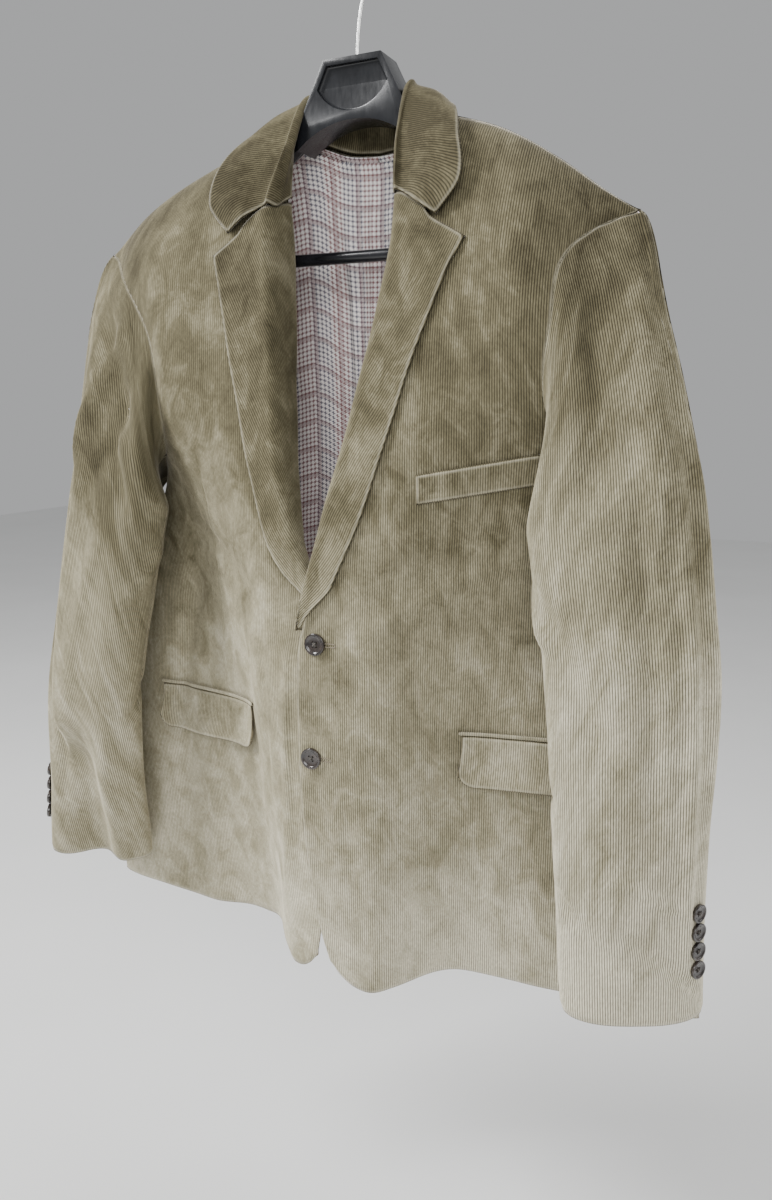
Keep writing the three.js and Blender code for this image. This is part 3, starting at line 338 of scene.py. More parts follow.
def unevenness(a, b, high):
    wave = np.sin(a / 17 + 1.3 * np.sin(b / 41)) * np.sin(b / 29 + 0.7)
    wave += 0.6 * np.sin(a / 9.1 + b / 23 + 2) + 0.5 * np.sin(b / 13 - a / 31 + 1)
    return high * wave


# Corduroy with twelve wales to the inch. Each piece is cut from a fresh length of the bolt, so
# that no two pieces show the same patches of nap, and its edges are turned under.
WALE = 2.1
WALE_HIGH, WALE_LOW = 0.38, 0.22
WALE_SQUEEZE = (0.45, 1.8)
WALE_STEPS = 3
BOLT_STEP = 700.0
BACKING_STEP = 9
TURNED_EDGE, TURNED_DEEP = 2.2, 1.1


def unit_rows(vectors):
    return vectors / np.maximum(np.linalg.norm(vectors, axis=-1, keepdims=True), 1e-9)


def grid_normals(points, facing):
    across = np.gradient(points, axis=1)
    down = np.gradient(points, axis=0)
    return unit_rows(np.cross(down, across)) * facing


def along_rows(points):
    long = np.linalg.norm(np.diff(points, axis=1), axis=-1)
    return np.concatenate([np.zeros((len(points), 1)), np.cumsum(long, axis=1)], axis=1)


def along_columns(points):
    return along_rows(points.swapaxes(0, 1)).T


# The wales run as straight and as evenly spaced as the curved cloth allows. Their spacing is
# solved over the whole piece by conjugate gradients, from the way in which they should run.
def wale_grain(points, way, facing, turns=400):
    normals = grid_normals(points, facing)
    way = unit_rows(way - normals * (way * normals).sum(-1, keepdims=True))
    aim = np.cross(normals, way)
    aim *= np.sign((np.gradient(points, axis=1) * aim).sum())
    wide = np.maximum(np.linalg.norm(np.gradient(points, axis=1), axis=-1), 0.05)
    tall = np.maximum(np.linalg.norm(np.gradient(points, axis=0), axis=-1), 0.05)
    weigh_right = (tall[:, 1:] + tall[:, :-1]) / (wide[:, 1:] + wide[:, :-1])
    weigh_down = (wide[1:] + wide[:-1]) / (tall[1:] + tall[:-1])
    want_right = (np.diff(points, axis=1) * (aim[:, 1:] + aim[:, :-1]) / 2).sum(-1)
    want_down = (np.diff(points, axis=0) * (aim[1:] + aim[:-1]) / 2).sum(-1)

    def pull(right, down):
        total = np.zeros(points.shape[:2])
        total[:, 1:] += weigh_right * right
        total[:, :-1] -= weigh_right * right
        total[1:] += weigh_down * down
        total[:-1] -= weigh_down * down
        return total

    scale = np.zeros(points.shape[:2])
    scale[:, 1:] += weigh_right
    scale[:, :-1] += weigh_right
    scale[1:] += weigh_down
    scale[:-1] += weigh_down
    grain = np.zeros(points.shape[:2])
    grain[1:, 0] = np.cumsum(want_down[:, 0])
    grain[:, 1:] = grain[:, :1] + np.cumsum(want_right, axis=1)
    left = pull(want_right - np.diff(grain, axis=1), want_down - np.diff(grain, axis=0))
    step = left / scale
    for _ in range(turns):
        change = pull(np.diff(step, axis=1), np.diff(step, axis=0))
        worth = (left * left / scale).sum()
        if worth < 1e-9:
            break
        share = worth / (step * change).sum()
        grain += share * step
        left = left - share * change
        step = left / scale + step * (left * left / scale).sum() / worth
    grain -= grain[len(points) // 2, points.shape[1] // 2]
    across = np.maximum(np.diff(along_rows(points), axis=1), 1e-6)
    even = np.clip(np.diff(grain, axis=1) / across, *WALE_SQUEEZE) * across
    even = np.cumsum(np.pad(even, ((0, 0), (1, 0))), axis=1)
    middle = slice(points.shape[1] // 2, points.shape[1] // 2 + 1)
    return even - even[:, middle] + grain[:, middle]


# Corduroy as it is cut: every wale keeps its place in the cloth, runs with the grain, and ends
# where a seam or an edge cuts it. The grid's columns follow the wales and stop at the edges.
def cut_cloth(name, points, facing, grain, relief=None, thick=CLOTH, wale=WALE, high=WALE_HIGH):
    normals = grid_normals(points, facing)
    from_start, down = along_rows(points), along_columns(points)
    to_sides = np.minimum(from_start, from_start[:, -1:] - from_start)
    to_ends = np.minimum(down, down[-1:] - down)
    to_edge = np.minimum(to_sides, to_ends)
    height = -TURNED_DEEP * (1 - np.clip(to_edge / TURNED_EDGE, 0, 1)) ** 2
    if relief is not None:
        height = height + relief
    face = points + normals * height[..., None]
    normals = grid_normals(face, facing)
    step = wale / WALE_STEPS
    first, last = math.floor(grain.min() / step), math.ceil(grain.max() / step)
    marks = np.arange(first, last + 1)
    rows, columns = len(points), len(marks)
    spot = np.stack([np.interp(marks * step, g, np.arange(len(g))) for g in grain])
    low = (marks[None] * step <= grain[:, :1]).sum(1) - 1
    top = columns - (marks[None] * step >= grain[:, -1:]).sum(1)

    def at(values):
        i = np.minimum(spot.astype(int), values.shape[1] - 2)
        share = spot - i
        share = share[..., None] if values.ndim == 3 else share
        here = np.take_along_axis(values, i[..., None] if values.ndim == 3 else i, 1)
        there = np.take_along_axis(values, i[..., None] + 1 if values.ndim == 3 else i + 1, 1)
        return here * (1 - share) + there * share

    outward = unit_rows(at(normals))
    crest = np.where(marks % WALE_STEPS == 0, 1.0, -0.5) * high
    margin = at(to_edge)
    rib = crest[None] * smooth(0.2, 1.6, margin)
    outer = at(face) + outward * rib[..., None]
    coarse = np.unique(np.append(np.arange(0, columns, BACKING_STEP), columns - 1))
    inner = (at(face) - outward * thick)[:, coarse]
    grid = np.arange(columns)[None].repeat(rows, 0)
    grid = np.clip(grid, low[:, None], top[:, None])
    outer_ids = np.arange(rows)[:, None] * columns + grid
    coarse_low = np.searchsorted(coarse, low, side="right") - 1
    coarse_top = np.searchsorted(coarse, top, side="left")
    back_grid = np.arange(len(coarse))[None].repeat(rows, 0)
    back_grid = np.clip(back_grid, coarse_low[:, None], coarse_top[:, None])
    inner_ids = rows * columns + np.arange(rows)[:, None] * len(coarse) + back_grid

    def quads(ids):
        a, b, c, d = ids[:-1, :-1], ids[:-1, 1:], ids[1:, 1:], ids[1:, :-1]
        return np.stack([a, b, c, d], -1).reshape(-1, 4)

    faces = [(quads(outer_ids), 0), (quads(inner_ids)[:, ::-1], 1)]
    edge = [outer_ids[:-1, 0], outer_ids[1:, 0], inner_ids[1:, 0], inner_ids[:-1, 0]]
    faces.append((np.stack(edge, -1), 0))
    edge = [outer_ids[1:, -1], outer_ids[:-1, -1], inner_ids[:-1, -1], inner_ids[1:, -1]]
    faces.append((np.stack(edge, -1), 0))
    for row, turned in ((0, False), (rows - 1, True)):
        fans = []
        for c in range(len(coarse) - 1):
            start, end = coarse[c], coarse[c + 1]
            hub, beyond = inner_ids[row, c], inner_ids[row, c + 1]
            fans += [(outer_ids[row, k + 1], outer_ids[row, k], hub, hub) for k in range(start, end)]
            fans.append((outer_ids[row, end], hub, beyond, beyond))
        fans = np.array(fans)
        faces.append((fans[:, ::-1] if turned else fans, 0))
    polygons, slots = [], []
    for group, slot in faces:
        for face_ids in group.tolist():
            kept = [p for i, p in enumerate(face_ids) if p != face_ids[i - 1]]
            if len(set(kept)) == len(kept) and len(kept) > 2:
                polygons.append(kept)
                slots.append(slot)
    flat = np.concatenate([outer.reshape(-1, 3), inner.reshape(-1, 3)])
    marks_at = at(grain)
    length_at = at(down)
    cloth_x = np.concatenate([marks_at.ravel(), marks_at[:, coarse].ravel()])
    cloth_y = np.concatenate([length_at.ravel(), length_at[:, coarse].ravel()])
    cloth_y += BOLT_STEP * len(bpy.data.meshes)
    near = np.concatenate([margin.ravel(), margin[:, coarse].ravel()])
    used = np.unique(np.concatenate([np.array(p) for p in polygons]))
    renumber = np.full(len(flat), -1)
    renumber[used] = np.arange(len(used))
    polygons = [[int(renumber[p]) for p in face_ids] for face_ids in polygons]
    mesh = bpy.data.meshes.new(name)
    mesh.from_pydata((flat[used] * MM).tolist(), [], polygons)
    mesh.polygons.foreach_set("material_index", slots)
    mesh.polygons.foreach_set("use_smooth", [True] * len(polygons))
    loops = np.zeros(len(mesh.loops), int)
    mesh.loops.foreach_get("vertex_index", loops)
    uv = np.stack([cloth_x[used][loops], cloth_y[used][loops]], -1) * MM
    mesh.uv_layers.new(name="cloth").data.foreach_set("uv", uv.ravel())
    mesh.attributes.new("margin", "FLOAT", "POINT").data.foreach_set("value", near[used])
    piece = bpy.data.objects.new(name, mesh)
    bpy.context.scene.collection.objects.link(piece)
    work = bmesh.new()
    work.from_mesh(mesh)
    bmesh.ops.recalc_face_normals(work, faces=work.faces)
    work.to_mesh(mesh)
    work.free()
    return piece


def put(tree, kind, inputs=None, **settings):
    node = tree.nodes.new(kind)
    for key, value in settings.items():
        setattr(node, key, value)
    for key, value in (inputs or {}).items():
        if isinstance(value, bpy.types.NodeSocket):
            tree.links.new(value, node.inputs[key])
        else:
            node.inputs[key].default_value = value
    return node


def ramp(tree, factor, *stops):
    node = put(tree, "ShaderNodeValToRGB", {"Fac": factor})
    elements = node.color_ramp.elements
    while len(elements) < len(stops):
        elements.new(0.5)
    for element, (place, colour) in zip(elements, stops):
        element.position = place
        element.color = (*colour, 1)
    return node.outputs["Color"]


def maths(tree, operation, first, second=0.0, third=0.0):
    inputs = {0: first, 1: second, 2: third}
    return put(tree, "ShaderNodeMath", inputs, operation=operation).outputs[0]


def mixed(tree, factor, first, second, blend="MIX"):
    node = tree.nodes.new("ShaderNodeMix")
    node.data_type = "RGBA"
    node.blend_type = blend
    for place, value in ((0, factor), (6, first), (7, second)):
        if isinstance(value, bpy.types.NodeSocket):
            tree.links.new(value, node.inputs[place])
        else:
            node.inputs[place].default_value = value
    return node.outputs[2]


def noise(tree, vector, scale, detail=3.0, roughness=0.55, stretch=None, distortion=0.0):
    if stretch:
        mapping = put(tree, "ShaderNodeMapping", {"Vector": vector, "Scale": stretch})
        vector = mapping.outputs["Vector"]
    inputs = {"Vector": vector, "Scale": scale, "Detail": detail, "Roughness": roughness}
    inputs["Distortion"] = distortion
    return put(tree, "ShaderNodeTexNoise", inputs).outputs["Fac"]


def new_material(name, **constants):
    material = bpy.data.materials.new(name)
    material.use_nodes = True
    tree = material.node_tree
    shader = tree.nodes["Principled BSDF"]
    for key, value in constants.items():
        shader.inputs[key.replace("_", " ")].default_value = value
    return material, tree, shader


def surfaced(tree, shader, colour, height, strength, distance):
    tree.links.new(colour, shader.inputs["Base Color"])
    inputs = {"Height": height, "Strength": strength, "Distance": distance}
    bump = put(tree, "ShaderNodeBump", inputs)
    tree.links.new(bump.outputs["Normal"], shader.inputs["Normal"])


KHAKI_DARK = (0.062, 0.053, 0.029)
KHAKI = (0.145, 0.128, 0.076)
KHAKI_LIGHT = (0.330, 0.300, 0.202)
KHAKI_WORN = (0.610, 0.568, 0.435)
TONE_TOP, TONE_FOOT = -0.12, -0.88
TONE_DARK, TONE_PALE = -0.66, -0.03


# Brushed cotton nap: each wale has a painted highlight on its crest and painted shade in its furrow,
# the nap lies this way and that in soft patches, the cloth runs darker towards the top and paler
# towards the foot, folded edges are rubbed paler, and painted shade darkens the last millimetre of
# every edge.
def corduroy_cloth(name, furrows, lift=0.0):
    material, tree, shader = new_material(
        name, Roughness=0.92, Sheen_Weight=0.30, Sheen_Roughness=0.32,
        Sheen_Tint=(1.0, 0.93, 0.80, 1), Specular_IOR_Level=0.18,
    )
    uv = put(tree, "ShaderNodeUVMap", uv_map="cloth").outputs["UV"]
    place = put(tree, "ShaderNodeTexCoord").outputs["Object"]
    across = put(tree, "ShaderNodeSeparateXYZ", {0: uv}).outputs["X"]
    turn = maths(tree, "MULTIPLY", across, 2 * math.pi / (WALE * MM))
    crest = maths(tree, "MULTIPLY_ADD", maths(tree, "COSINE", turn), 0.5, 0.5)
    clouds = noise(tree, uv, 1.0, 2.0, 0.5, stretch=(13, 7, 1), distortion=0.3)
    bruises = noise(tree, uv, 1.0, 6.0, 0.70, stretch=(46, 30, 1), distortion=0.5)
    drift = noise(tree, place, 5.0, 2.0, 0.5)
    fibre = noise(tree, uv, 1.0, 2.0, 0.6, stretch=(700, 260, 1))
    # The cloth runs darker towards the top and paler towards the foot.
    height = put(tree, "ShaderNodeSeparateXYZ", {0: place}).outputs["Z"]
    # Painted light and shade: a positive lift paints a copy lighter, a negative lift paints it darker.
    tone_level = put(tree, "ShaderNodeMapRange", {
        "Value": height, "From Min": TONE_TOP, "From Max": TONE_FOOT,
        "To Min": TONE_DARK - 0.5 * lift, "To Max": TONE_PALE + lift,
    }).outputs["Result"]
    for pattern, share in ((drift, 0.34), (clouds, 0.52), (bruises, 0.78)):
        tone_level = maths(tree, "ADD", tone_level, maths(tree, "MULTIPLY", pattern, share))
    nap = ramp(
        tree, tone_level, (0.12, KHAKI_DARK), (0.36, KHAKI), (0.62, KHAKI_LIGHT), (0.92, KHAKI_WORN)
    )
    # Painted highlight on each wale's crest and painted shade in its furrow, over the raised wales.
    painted_wale_shading = ramp(
        tree, crest, (0.0, (furrows,) * 3), (0.42, (0.9, 0.9, 0.89)), (0.8, (1.1, 1.1, 1.1)),
        (1.0, (1.16, 1.16, 1.16)),
    )
    colour = mixed(tree, 1.0, nap, painted_wale_shading, "MULTIPLY")
    flecks = ramp(tree, fibre, (0.3, (0.82, 0.81, 0.80)), (0.7, (1.14, 1.14, 1.15)))
    colour = mixed(tree, 1.0, colour, flecks, "MULTIPLY")
    margin = put(tree, "ShaderNodeAttribute", attribute_name="margin").outputs["Fac"]
    rubbed = ramp(
        tree, maths(tree, "MULTIPLY", margin, 0.2), (0.14, (0, 0, 0)), (0.26, (0.62, 0.62, 0.62)),
        (0.75, (0, 0, 0)),
    )
    worn = maths(tree, "MULTIPLY", rubbed, noise(tree, uv, 120.0, 3.0))
    colour = mixed(tree, worn, colour, (*KHAKI_WORN, 1))
    # Painted shade: the last millimetre along every edge is darkened.
    edge_shade_reach = maths(tree, "MULTIPLY", margin, 0.5)
    seam = ramp(tree, edge_shade_reach, (0.1, (0.42, 0.40, 0.37)), (0.45, (1, 1, 1)))
    colour = mixed(tree, 1.0, colour, seam, "MULTIPLY")
    halves = [maths(tree, "MULTIPLY", pattern, 0.5) for pattern in (fibre, bruises)]
    surfaced(tree, shader, colour, maths(tree, "ADD", *halves), 0.35, 0.0006)
    return material


CHECK = 4.6
CHECK_DARK = 0.34
LINING_PALE = (0.95, 0.91, 0.89)
LINING_RED = (0.20, 0.060, 0.065)
LINING_NAVY = (0.060, 0.055, 0.10)


# The lining: a smooth cloth with a small broken check, woven of off-white, dark red and navy
# threads, so that the dark squares are joined by slanting threads, under a faint red window check.
def lining_cloth(name):
    material, tree, shader = new_material(
        name, Roughness=0.5, Sheen_Weight=0.15, Sheen_Roughness=0.3, Specular_IOR_Level=0.4
    )
    uv = put(tree, "ShaderNodeUVMap", uv_map="cloth").outputs["UV"]
    parts = put(tree, "ShaderNodeSeparateXYZ", {0: uv})
    repeat = 1 / (CHECK * MM)

    def through_repeat(axis, repeats):
        return maths(tree, "FRACT", maths(tree, "MULTIPLY", parts.outputs[axis], repeat / repeats))

    u, v = through_repeat("X", 1), through_repeat("Y", 1)
    warp, weft = (maths(tree, "LESS_THAN", place, CHECK_DARK) for place in (u, v))
    slant = maths(tree, "FRACT", maths(tree, "MULTIPLY", maths(tree, "ADD", u, v), 2.0))
    twill = maths(tree, "LESS_THAN", slant, 0.5)
    both = maths(tree, "MULTIPLY", warp, weft)
    twice = maths(tree, "MULTIPLY", both, 2.0)
    either = maths(tree, "SUBTRACT", maths(tree, "ADD", warp, weft), twice)
    dark = maths(tree, "MAXIMUM", both, maths(tree, "MULTIPLY", either, twill))
    reds = maths(tree, "LESS_THAN", through_repeat("X", 9), 0.5)
    threads = mixed(tree, reds, (*LINING_RED, 1), (*LINING_NAVY, 1))
    colour = mixed(tree, maths(tree, "MULTIPLY", dark, 0.92), (*LINING_PALE, 1), threads)
    lines = [maths(tree, "LESS_THAN", through_repeat(axis, 6), 0.16) for axis in "XY"]
    panes = maths(tree, "MULTIPLY", maths(tree, "MAXIMUM", *lines), 0.45)
    colour = mixed(tree, panes, colour, (*LINING_RED, 1))
    cloudy = noise(tree, uv, 60.0)
    cloudy = ramp(tree, cloudy, (0.3, (0.86, 0.85, 0.85)), (0.7, (1.05, 1.04, 1.03)))
    colour = mixed(tree, 1.0, colour, cloudy, "MULTIPLY")
    surfaced(tree, shader, colour, noise(tree, uv, 900.0, 2.0), 0.2, 0.0002)
    return material


# One cloth in four copies with light and shade painted in: as cut, with fainter painted furrow shade,
# painted lighter with deeper painted furrow shade, and painted darker as if in shade.
corduroy = corduroy_cloth("corduroy", 0.36)
faint_shade_corduroy = corduroy_cloth("corduroy_faint_furrow_shade", 0.60)
painted_lit_corduroy = corduroy_cloth("corduroy_painted_lighter", 0.20, 0.22)
shaded_corduroy = corduroy_cloth("corduroy_in_shade", 0.30, -0.12)
inside_cloth = lining_cloth("inside_lining")


def dress(piece, node, outside, inside):
    for material in (outside, inside):
        piece.data.materials.append(material)
    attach(piece, "root")
    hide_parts(node)


DART = {"left": (152, -300, 146, -470), "right": (148, -300, 150, -470)}
DART_HALF = 1.3
DART_DEEP = 1.1
FRONT_CREASES = {
    "left": [
        (205, -330, 60, -400, 16, -2.5, 6), (190, -360, 40, -448, 12, 2.5, 8),
        (60, -470, 120, -700, 20, 2.2, 6), (200, -420, 230, -760, 22, -3.0, -8),
        (150, -620, 140, -790, 26, 3.0, 0), (30, -600, 46, -780, 14, -1.6, 0),
    ],
    "right": [
        (30, -430, 44, -790, 11, 3.2, 3), (62, -420, 78, -780, 14, -2.6, 4),
        (190, -350, 60, -430, 14, -2.4, 6), (200, -400, 225, -760, 24, -3.0, -8),
        (150, -620, 140, -790, 26, 3.0, 0),
    ],
}
FRONT_DEEP = 1.35
FRONT_ROWS = 118
FRONT_FINE = 130


def front_relief(side, x, drop):
    height = FRONT_DEEP * creases(FRONT_CREASES[side], x, drop) + unevenness(x, drop, 0.35)
    x0, top, x1, foot = DART[side]
    seam = lerp(x0, x1, np.clip((drop - top) / (foot - top), 0, 1))
    ends = smooth(foot - 12, foot + 6, drop) * (1 - smooth(top - 6, top + 12, drop))
    height -= DART_DEEP * ends * np.exp(-(((x - seam) / DART_HALF) ** 2))
    pucker = np.sin(drop / 4.2 + 2 * np.sin(drop / 19)) * np.exp(-(((x - seam) / 9) ** 2))
    return height + 0.28 * pucker * ends


def panel_points(half, side, rows, fine):
    u, v = np.meshgrid(np.linspace(0, 1, fine), np.linspace(0, 1, rows))
    if half == "back":
        u = 1 - u
    t, drop = panel_place(half, side, u, v)
    x, y = front_surface(side, t, drop) if half == "front" else body_surface(t, drop)
    return x, drop, settled(x, y, drop, side)


# On a panel the wales fall straight, and over the shoulder they run from front to back.
def panel_grain(points, facing, half):
    over = np.maximum(grid_normals(points, facing)[..., 2], 0)
    way = np.stack([0 * over, over * (-1 if half == "front" else 1), over * 0 - 1], -1)
    return wale_grain(points, way, facing)


for side, sign in SIDES.items():
    x, drop, points = panel_points("front", side, FRONT_ROWS, FRONT_FINE)
    grain = panel_grain(points, sign, "front")
    relief = front_relief(side, x, drop)
    high = WALE_HIGH if side == "left" else WALE_LOW
    # The right front wears the copy with fainter painted furrow shade.
    cloth = corduroy if side == "left" else faint_shade_corduroy
    piece = cut_cloth("front_" + side + "_cloth", points, sign, grain, relief, high=high)
    dress(piece, "front_" + side, cloth, inside_cloth)


# The back: two panels joined at a straight centre seam, easing over the shoulder blades and
# hanging in long shallow folds from them. The wales run straight down to the hem.
BACK_ROWS = 112
BACK_FINE = 110
BACK_CREASES = [
    (150, -260, 190, -780, 24, 4, 6), (95, -330, 120, -780, 20, -3.5, -5),
    (40, -420, 52, -790, 16, 3, 3), (170, -180, 60, -300, 18, 2.5, 8),
    (6, -160, 6, -560, 12, -1.5, 0),
]


for side, sign in SIDES.items():
    x, drop, points = panel_points("back", side, BACK_ROWS, BACK_FINE)
    grain = panel_grain(points, sign, "back")
    uneven = 1.0 if side == "left" else 0.8
    relief = uneven * creases(BACK_CREASES, np.abs(x), drop) + unevenness(x + 40 * sign, drop, 0.4)
    piece = cut_cloth("back_" + side + "_cloth", points, sign, grain, relief)
    dress(piece, "back_" + side, corduroy, inside_cloth)


# The sleeves: each is a top piece and an under piece, seamed at the front and the back of the
# arm and set into the armhole with a little ease. They hang empty, nearly flat at the cuff.
SLEEVE = {
    "left": table(
        "drop x y wide deep turn",
        (-345, 249, -56, 70, 38, 6), (-440, 265, -62, 68, 38, 12), (-540, 273, -68, 65, 35, 18),
        (-640, 279, -72, 62, 31, 23), (-742, 286, -75, 60, 28, 27),
    ),
    "right": table(
        "drop x y wide deep turn",
        (-345, 254, -60, 66, 37, 18), (-440, 276, -63, 65, 37, 20), (-540, 296, -65, 63, 35, 15),
        (-640, 309, -59, 61, 30, 2), (-742, 323, -46, 61, 25, -15),
    ),
}
CUFF_DROP = -742
TUCK = 2.6
SINK = 0.8
CAP = 0.36
TUBE_TOP = -345
FRONT_SEAM = 8 * (11 / 12) ** 1.6
LARGE_FOLDS = {
    "left": [
        (30, -150, 60, -330, 13, 6), (62, -170, 96, -300, 13, -6), (14, -180, 22, -520, 10, 5),
        (150, -400, 110, -500, 16, -5), (160, -640, 110, -690, 14, -4),
    ],
    "right": [
        (70, -150, 120, -260, 12, -7), (84, -230, 130, -330, 12, -6),
        (72, -220, 78, -620, 14, 5), (84, -600, 96, -760, 26, -15), (128, -600, 118, -760, 16, 6),
    ],
}
SLEEVE_CREASES = {
    "left": [
        (40, -300, 52, -660, 7, 3.0, 2), (66, -280, 80, -560, 8, -2.4, 3),
        (-8, -260, 4, -640, 8, -2.5, -3), (96, -420, 66, -470, 9, 2.2, 2),
        (100, -660, 40, -715, 8, -3.2, 4), (104, -610, 60, -640, 9, 2.0, 4),
        (330, -300, 346, -640, 12, 3, 4), (200, -380, 160, -430, 14, 3, 3),
        (230, -520, 180, -560, 14, -3, 3),
    ],
    "right": [
        (96, -160, 60, -300, 8, 3.0, 3), (120, -210, 84, -330, 9, -2.6, 3),
        (58, -300, 60, -640, 8, -2.6, 2), (30, -280, 34, -600, 9, 2.4, 3),
        (110, -380, 90, -560, 9, 2.2, -3), (330, -300, 346, -640, 12, 3, 4),
        (200, -380, 160, -430, 14, 3, 3), (230, -520, 180, -560, 14, -3, 3),
    ],
}
FOLDS_DEEP = {"left": 1.15, "right": 1.5}
CREASES_DEEP = 1.7
SLEEVE_ROWS = 96
SLEEVE_FINE = 90
TOP_CUT = (0.20, 0.66)
UNDER_CUT = (0.26, 0.62)
SLEEVE_AREA = {"top": 0.100, "under": 0.118}


def ring_angle(q):
    q = np.asarray(q, float)
    turns = np.floor(q / ARMHOLE_ROWS)
    rings = ARMHOLE["ring"]
    listed = [rings[-1] - 360, *rings, rings[0] + 360, rings[1] + 360]
    return through(listed, q - turns * ARMHOLE_ROWS + 1) + 360 * turns


def tube_point(side, angle, drop):
    value = {c: read(SLEEVE[side], "drop", drop, c) for c in ("x", "y", "wide", "deep", "turn")}
    a, turn = np.radians(angle), np.radians(value["turn"])
    along = value["wide"] * np.sign(np.cos(a)) * np.abs(np.cos(a)) ** 0.9
    out = -value["deep"] * np.sign(np.sin(a)) * np.abs(np.sin(a)) ** 0.9
    x = value["x"] + along * np.cos(turn) - out * np.sin(turn)
    y = value["y"] + along * np.sin(turn) + out * np.cos(turn)
    return np.stack(np.broadcast_arrays(x, y, drop), -1)


def body_point(t, drop):
    x, y = body_surface(t, drop)
    return np.stack(np.broadcast_arrays(x, y, drop), -1)


def armhole_point(q):
    return body_point(*armhole_place(q))


ARMHOLE_CENTRE = armhole_point(np.arange(ARMHOLE_ROWS)).mean(0)


def sleeve_base(side, q, v):
    q, v = np.broadcast_arrays(np.asarray(q, float), np.asarray(v, float))
    angle = ring_angle(q)
    hang = tube_point(side, angle, lerp(TUBE_TOP, CUFF_DROP, np.clip((v - CAP) / (1 - CAP), 0, 1.1)))
    step = 0.02
    start = armhole_point(q)
    along = unit_rows(armhole_point(q + step) - armhole_point(q - step))
    low = smooth(-150, -285, start[..., 2])[..., None]
    out = unit_rows(np.cross(along, np.cross(np.array([1.0, 0, 0]), along)))
    t, drop = armhole_place(q)
    ahead, behind = section(t + step, drop), section(t - step, drop)
    off = unit_rows(np.stack([ahead[1] - behind[1], behind[0] - ahead[0], 0 * t], -1))
    fallen = off * low + np.array([0, 0, -1.0]) * (0.25 + 0.35 * low)
    lead = unit_rows(fallen + out * (1 - low))
    end = tube_point(side, angle, np.full(q.shape, float(TUBE_TOP)))
    beyond = tube_point(side, angle, np.full(q.shape, TUBE_TOP - 10.0))
    fall = np.abs(start[..., 2:] - TUBE_TOP)
    reach = lerp(np.clip(fall * 0.5, 14, 80), 80, low)
    share = np.clip(v / CAP, 0, 1)[..., None]
    across = body_point(t + step, drop) - body_point(t - step, drop)
    over = unit_rows(np.cross(across, body_point(t, drop + 1) - body_point(t, drop - 1)))
    over *= np.sign((over * (off + np.array([0, 0, 1.0]))).sum(-1, keepdims=True))
    inward = unit_rows(np.cross(along, over))
    inward *= np.sign((inward * (start - ARMHOLE_CENTRE)).sum(-1, keepdims=True))
    tucked = start + inward * TUCK - over * SINK
    head = ease(tucked, lead * reach, end, (beyond - end) / 10 * fall, share)
    return np.where((v >= CAP)[..., None], hang, head)


def around(angle, middle):
    return (angle - middle + 540) % 360 - 180


def ring_folds(rows, angle, drop):
    height = np.zeros(np.broadcast(angle, drop).shape)
    for ring0, drop0, ring1, drop1, half, high, *bow in rows:
        along = np.clip((drop - drop0) / (drop1 - drop0), -0.3, 1.3)
        middle = lerp(ring0, ring1, along) + (bow[0] if bow else 0) * 4 * along * (1 - along)
        fade = smooth(-0.25, 0.15, along) * (1 - smooth(0.85, 1.25, along))
        height += high * fade * np.exp(-((around(angle, middle) / half) ** 2))
    return height


def sleeve_points(side, q, v):
    base = sleeve_base(side, q, v)
    step = 1e-3
    normal = np.cross(
        sleeve_base(side, q, v + step) - sleeve_base(side, q, v - step),
        sleeve_base(side, q + step, v) - sleeve_base(side, q - step, v),
    )
    angle = ring_angle(q)
    high = ring_folds(LARGE_FOLDS[side], angle, base[..., 2])
    fine = ring_folds(SLEEVE_CREASES[side], angle, base[..., 2])
    high = (FOLDS_DEEP[side] * high + CREASES_DEEP * fine) * smooth(0, 0.12, v)
    moved = base - unit_rows(normal) * high[..., None]
    return settled(moved[..., 0], moved[..., 1], moved[..., 2], side)


def sleeve_way(side, drop):
    drop = np.minimum(drop, TUBE_TOP - 8)
    x, y = ([read(SLEEVE[side], "drop", drop + d, c) for d in (-8, 8)] for c in "xy")
    return np.stack([x[0] - x[1], y[0] - y[1], 0 * drop - 16], -1)


def sleeve_piece(name, side, start, end, cut, area):
    q, v = np.meshgrid(np.linspace(start, end, SLEEVE_FINE), np.linspace(0, 1, SLEEVE_ROWS))
    points = sleeve_points(side, q, v)
    speed = np.linalg.norm(np.gradient(points, axis=1), axis=-1) / (q[0, 1] - q[0, 0])
    shy = SEAM_GAP / 2 / speed
    points = sleeve_points(side, np.clip(q, start + shy, end - shy), v)
    grain = wale_grain(points, sleeve_way(side, points[..., 2] - NECK_Z), -SIDES[side])
    relief = unevenness(grain + start * 30, points[..., 2], 0.3)
    ease_in = 0.5 * np.sin(grain / 3.6) * np.exp(-along_columns(points) / 14)
    relief = relief + (ease_in if name.startswith("top") else 0)
    high = WALE_HIGH if side == "left" else WALE_LOW
    # The left sleeve wears the copy painted lighter, the right sleeve the copy painted darker.
    cloth = painted_lit_corduroy if side == "left" else shaded_corduroy
    piece = cut_cloth(name + "_cloth", points, -SIDES[side], grain, relief, high=high)
    dress(piece, name, cloth, inside_cloth)


for side in SIDES:
    sleeve_piece("top_sleeve_" + side, side, 0, FRONT_SEAM, TOP_CUT, SLEEVE_AREA["top"])
    under = (FRONT_SEAM, ARMHOLE_ROWS, UNDER_CUT, SLEEVE_AREA["under"])
    sleeve_piece("under_sleeve_" + side, side, *under)


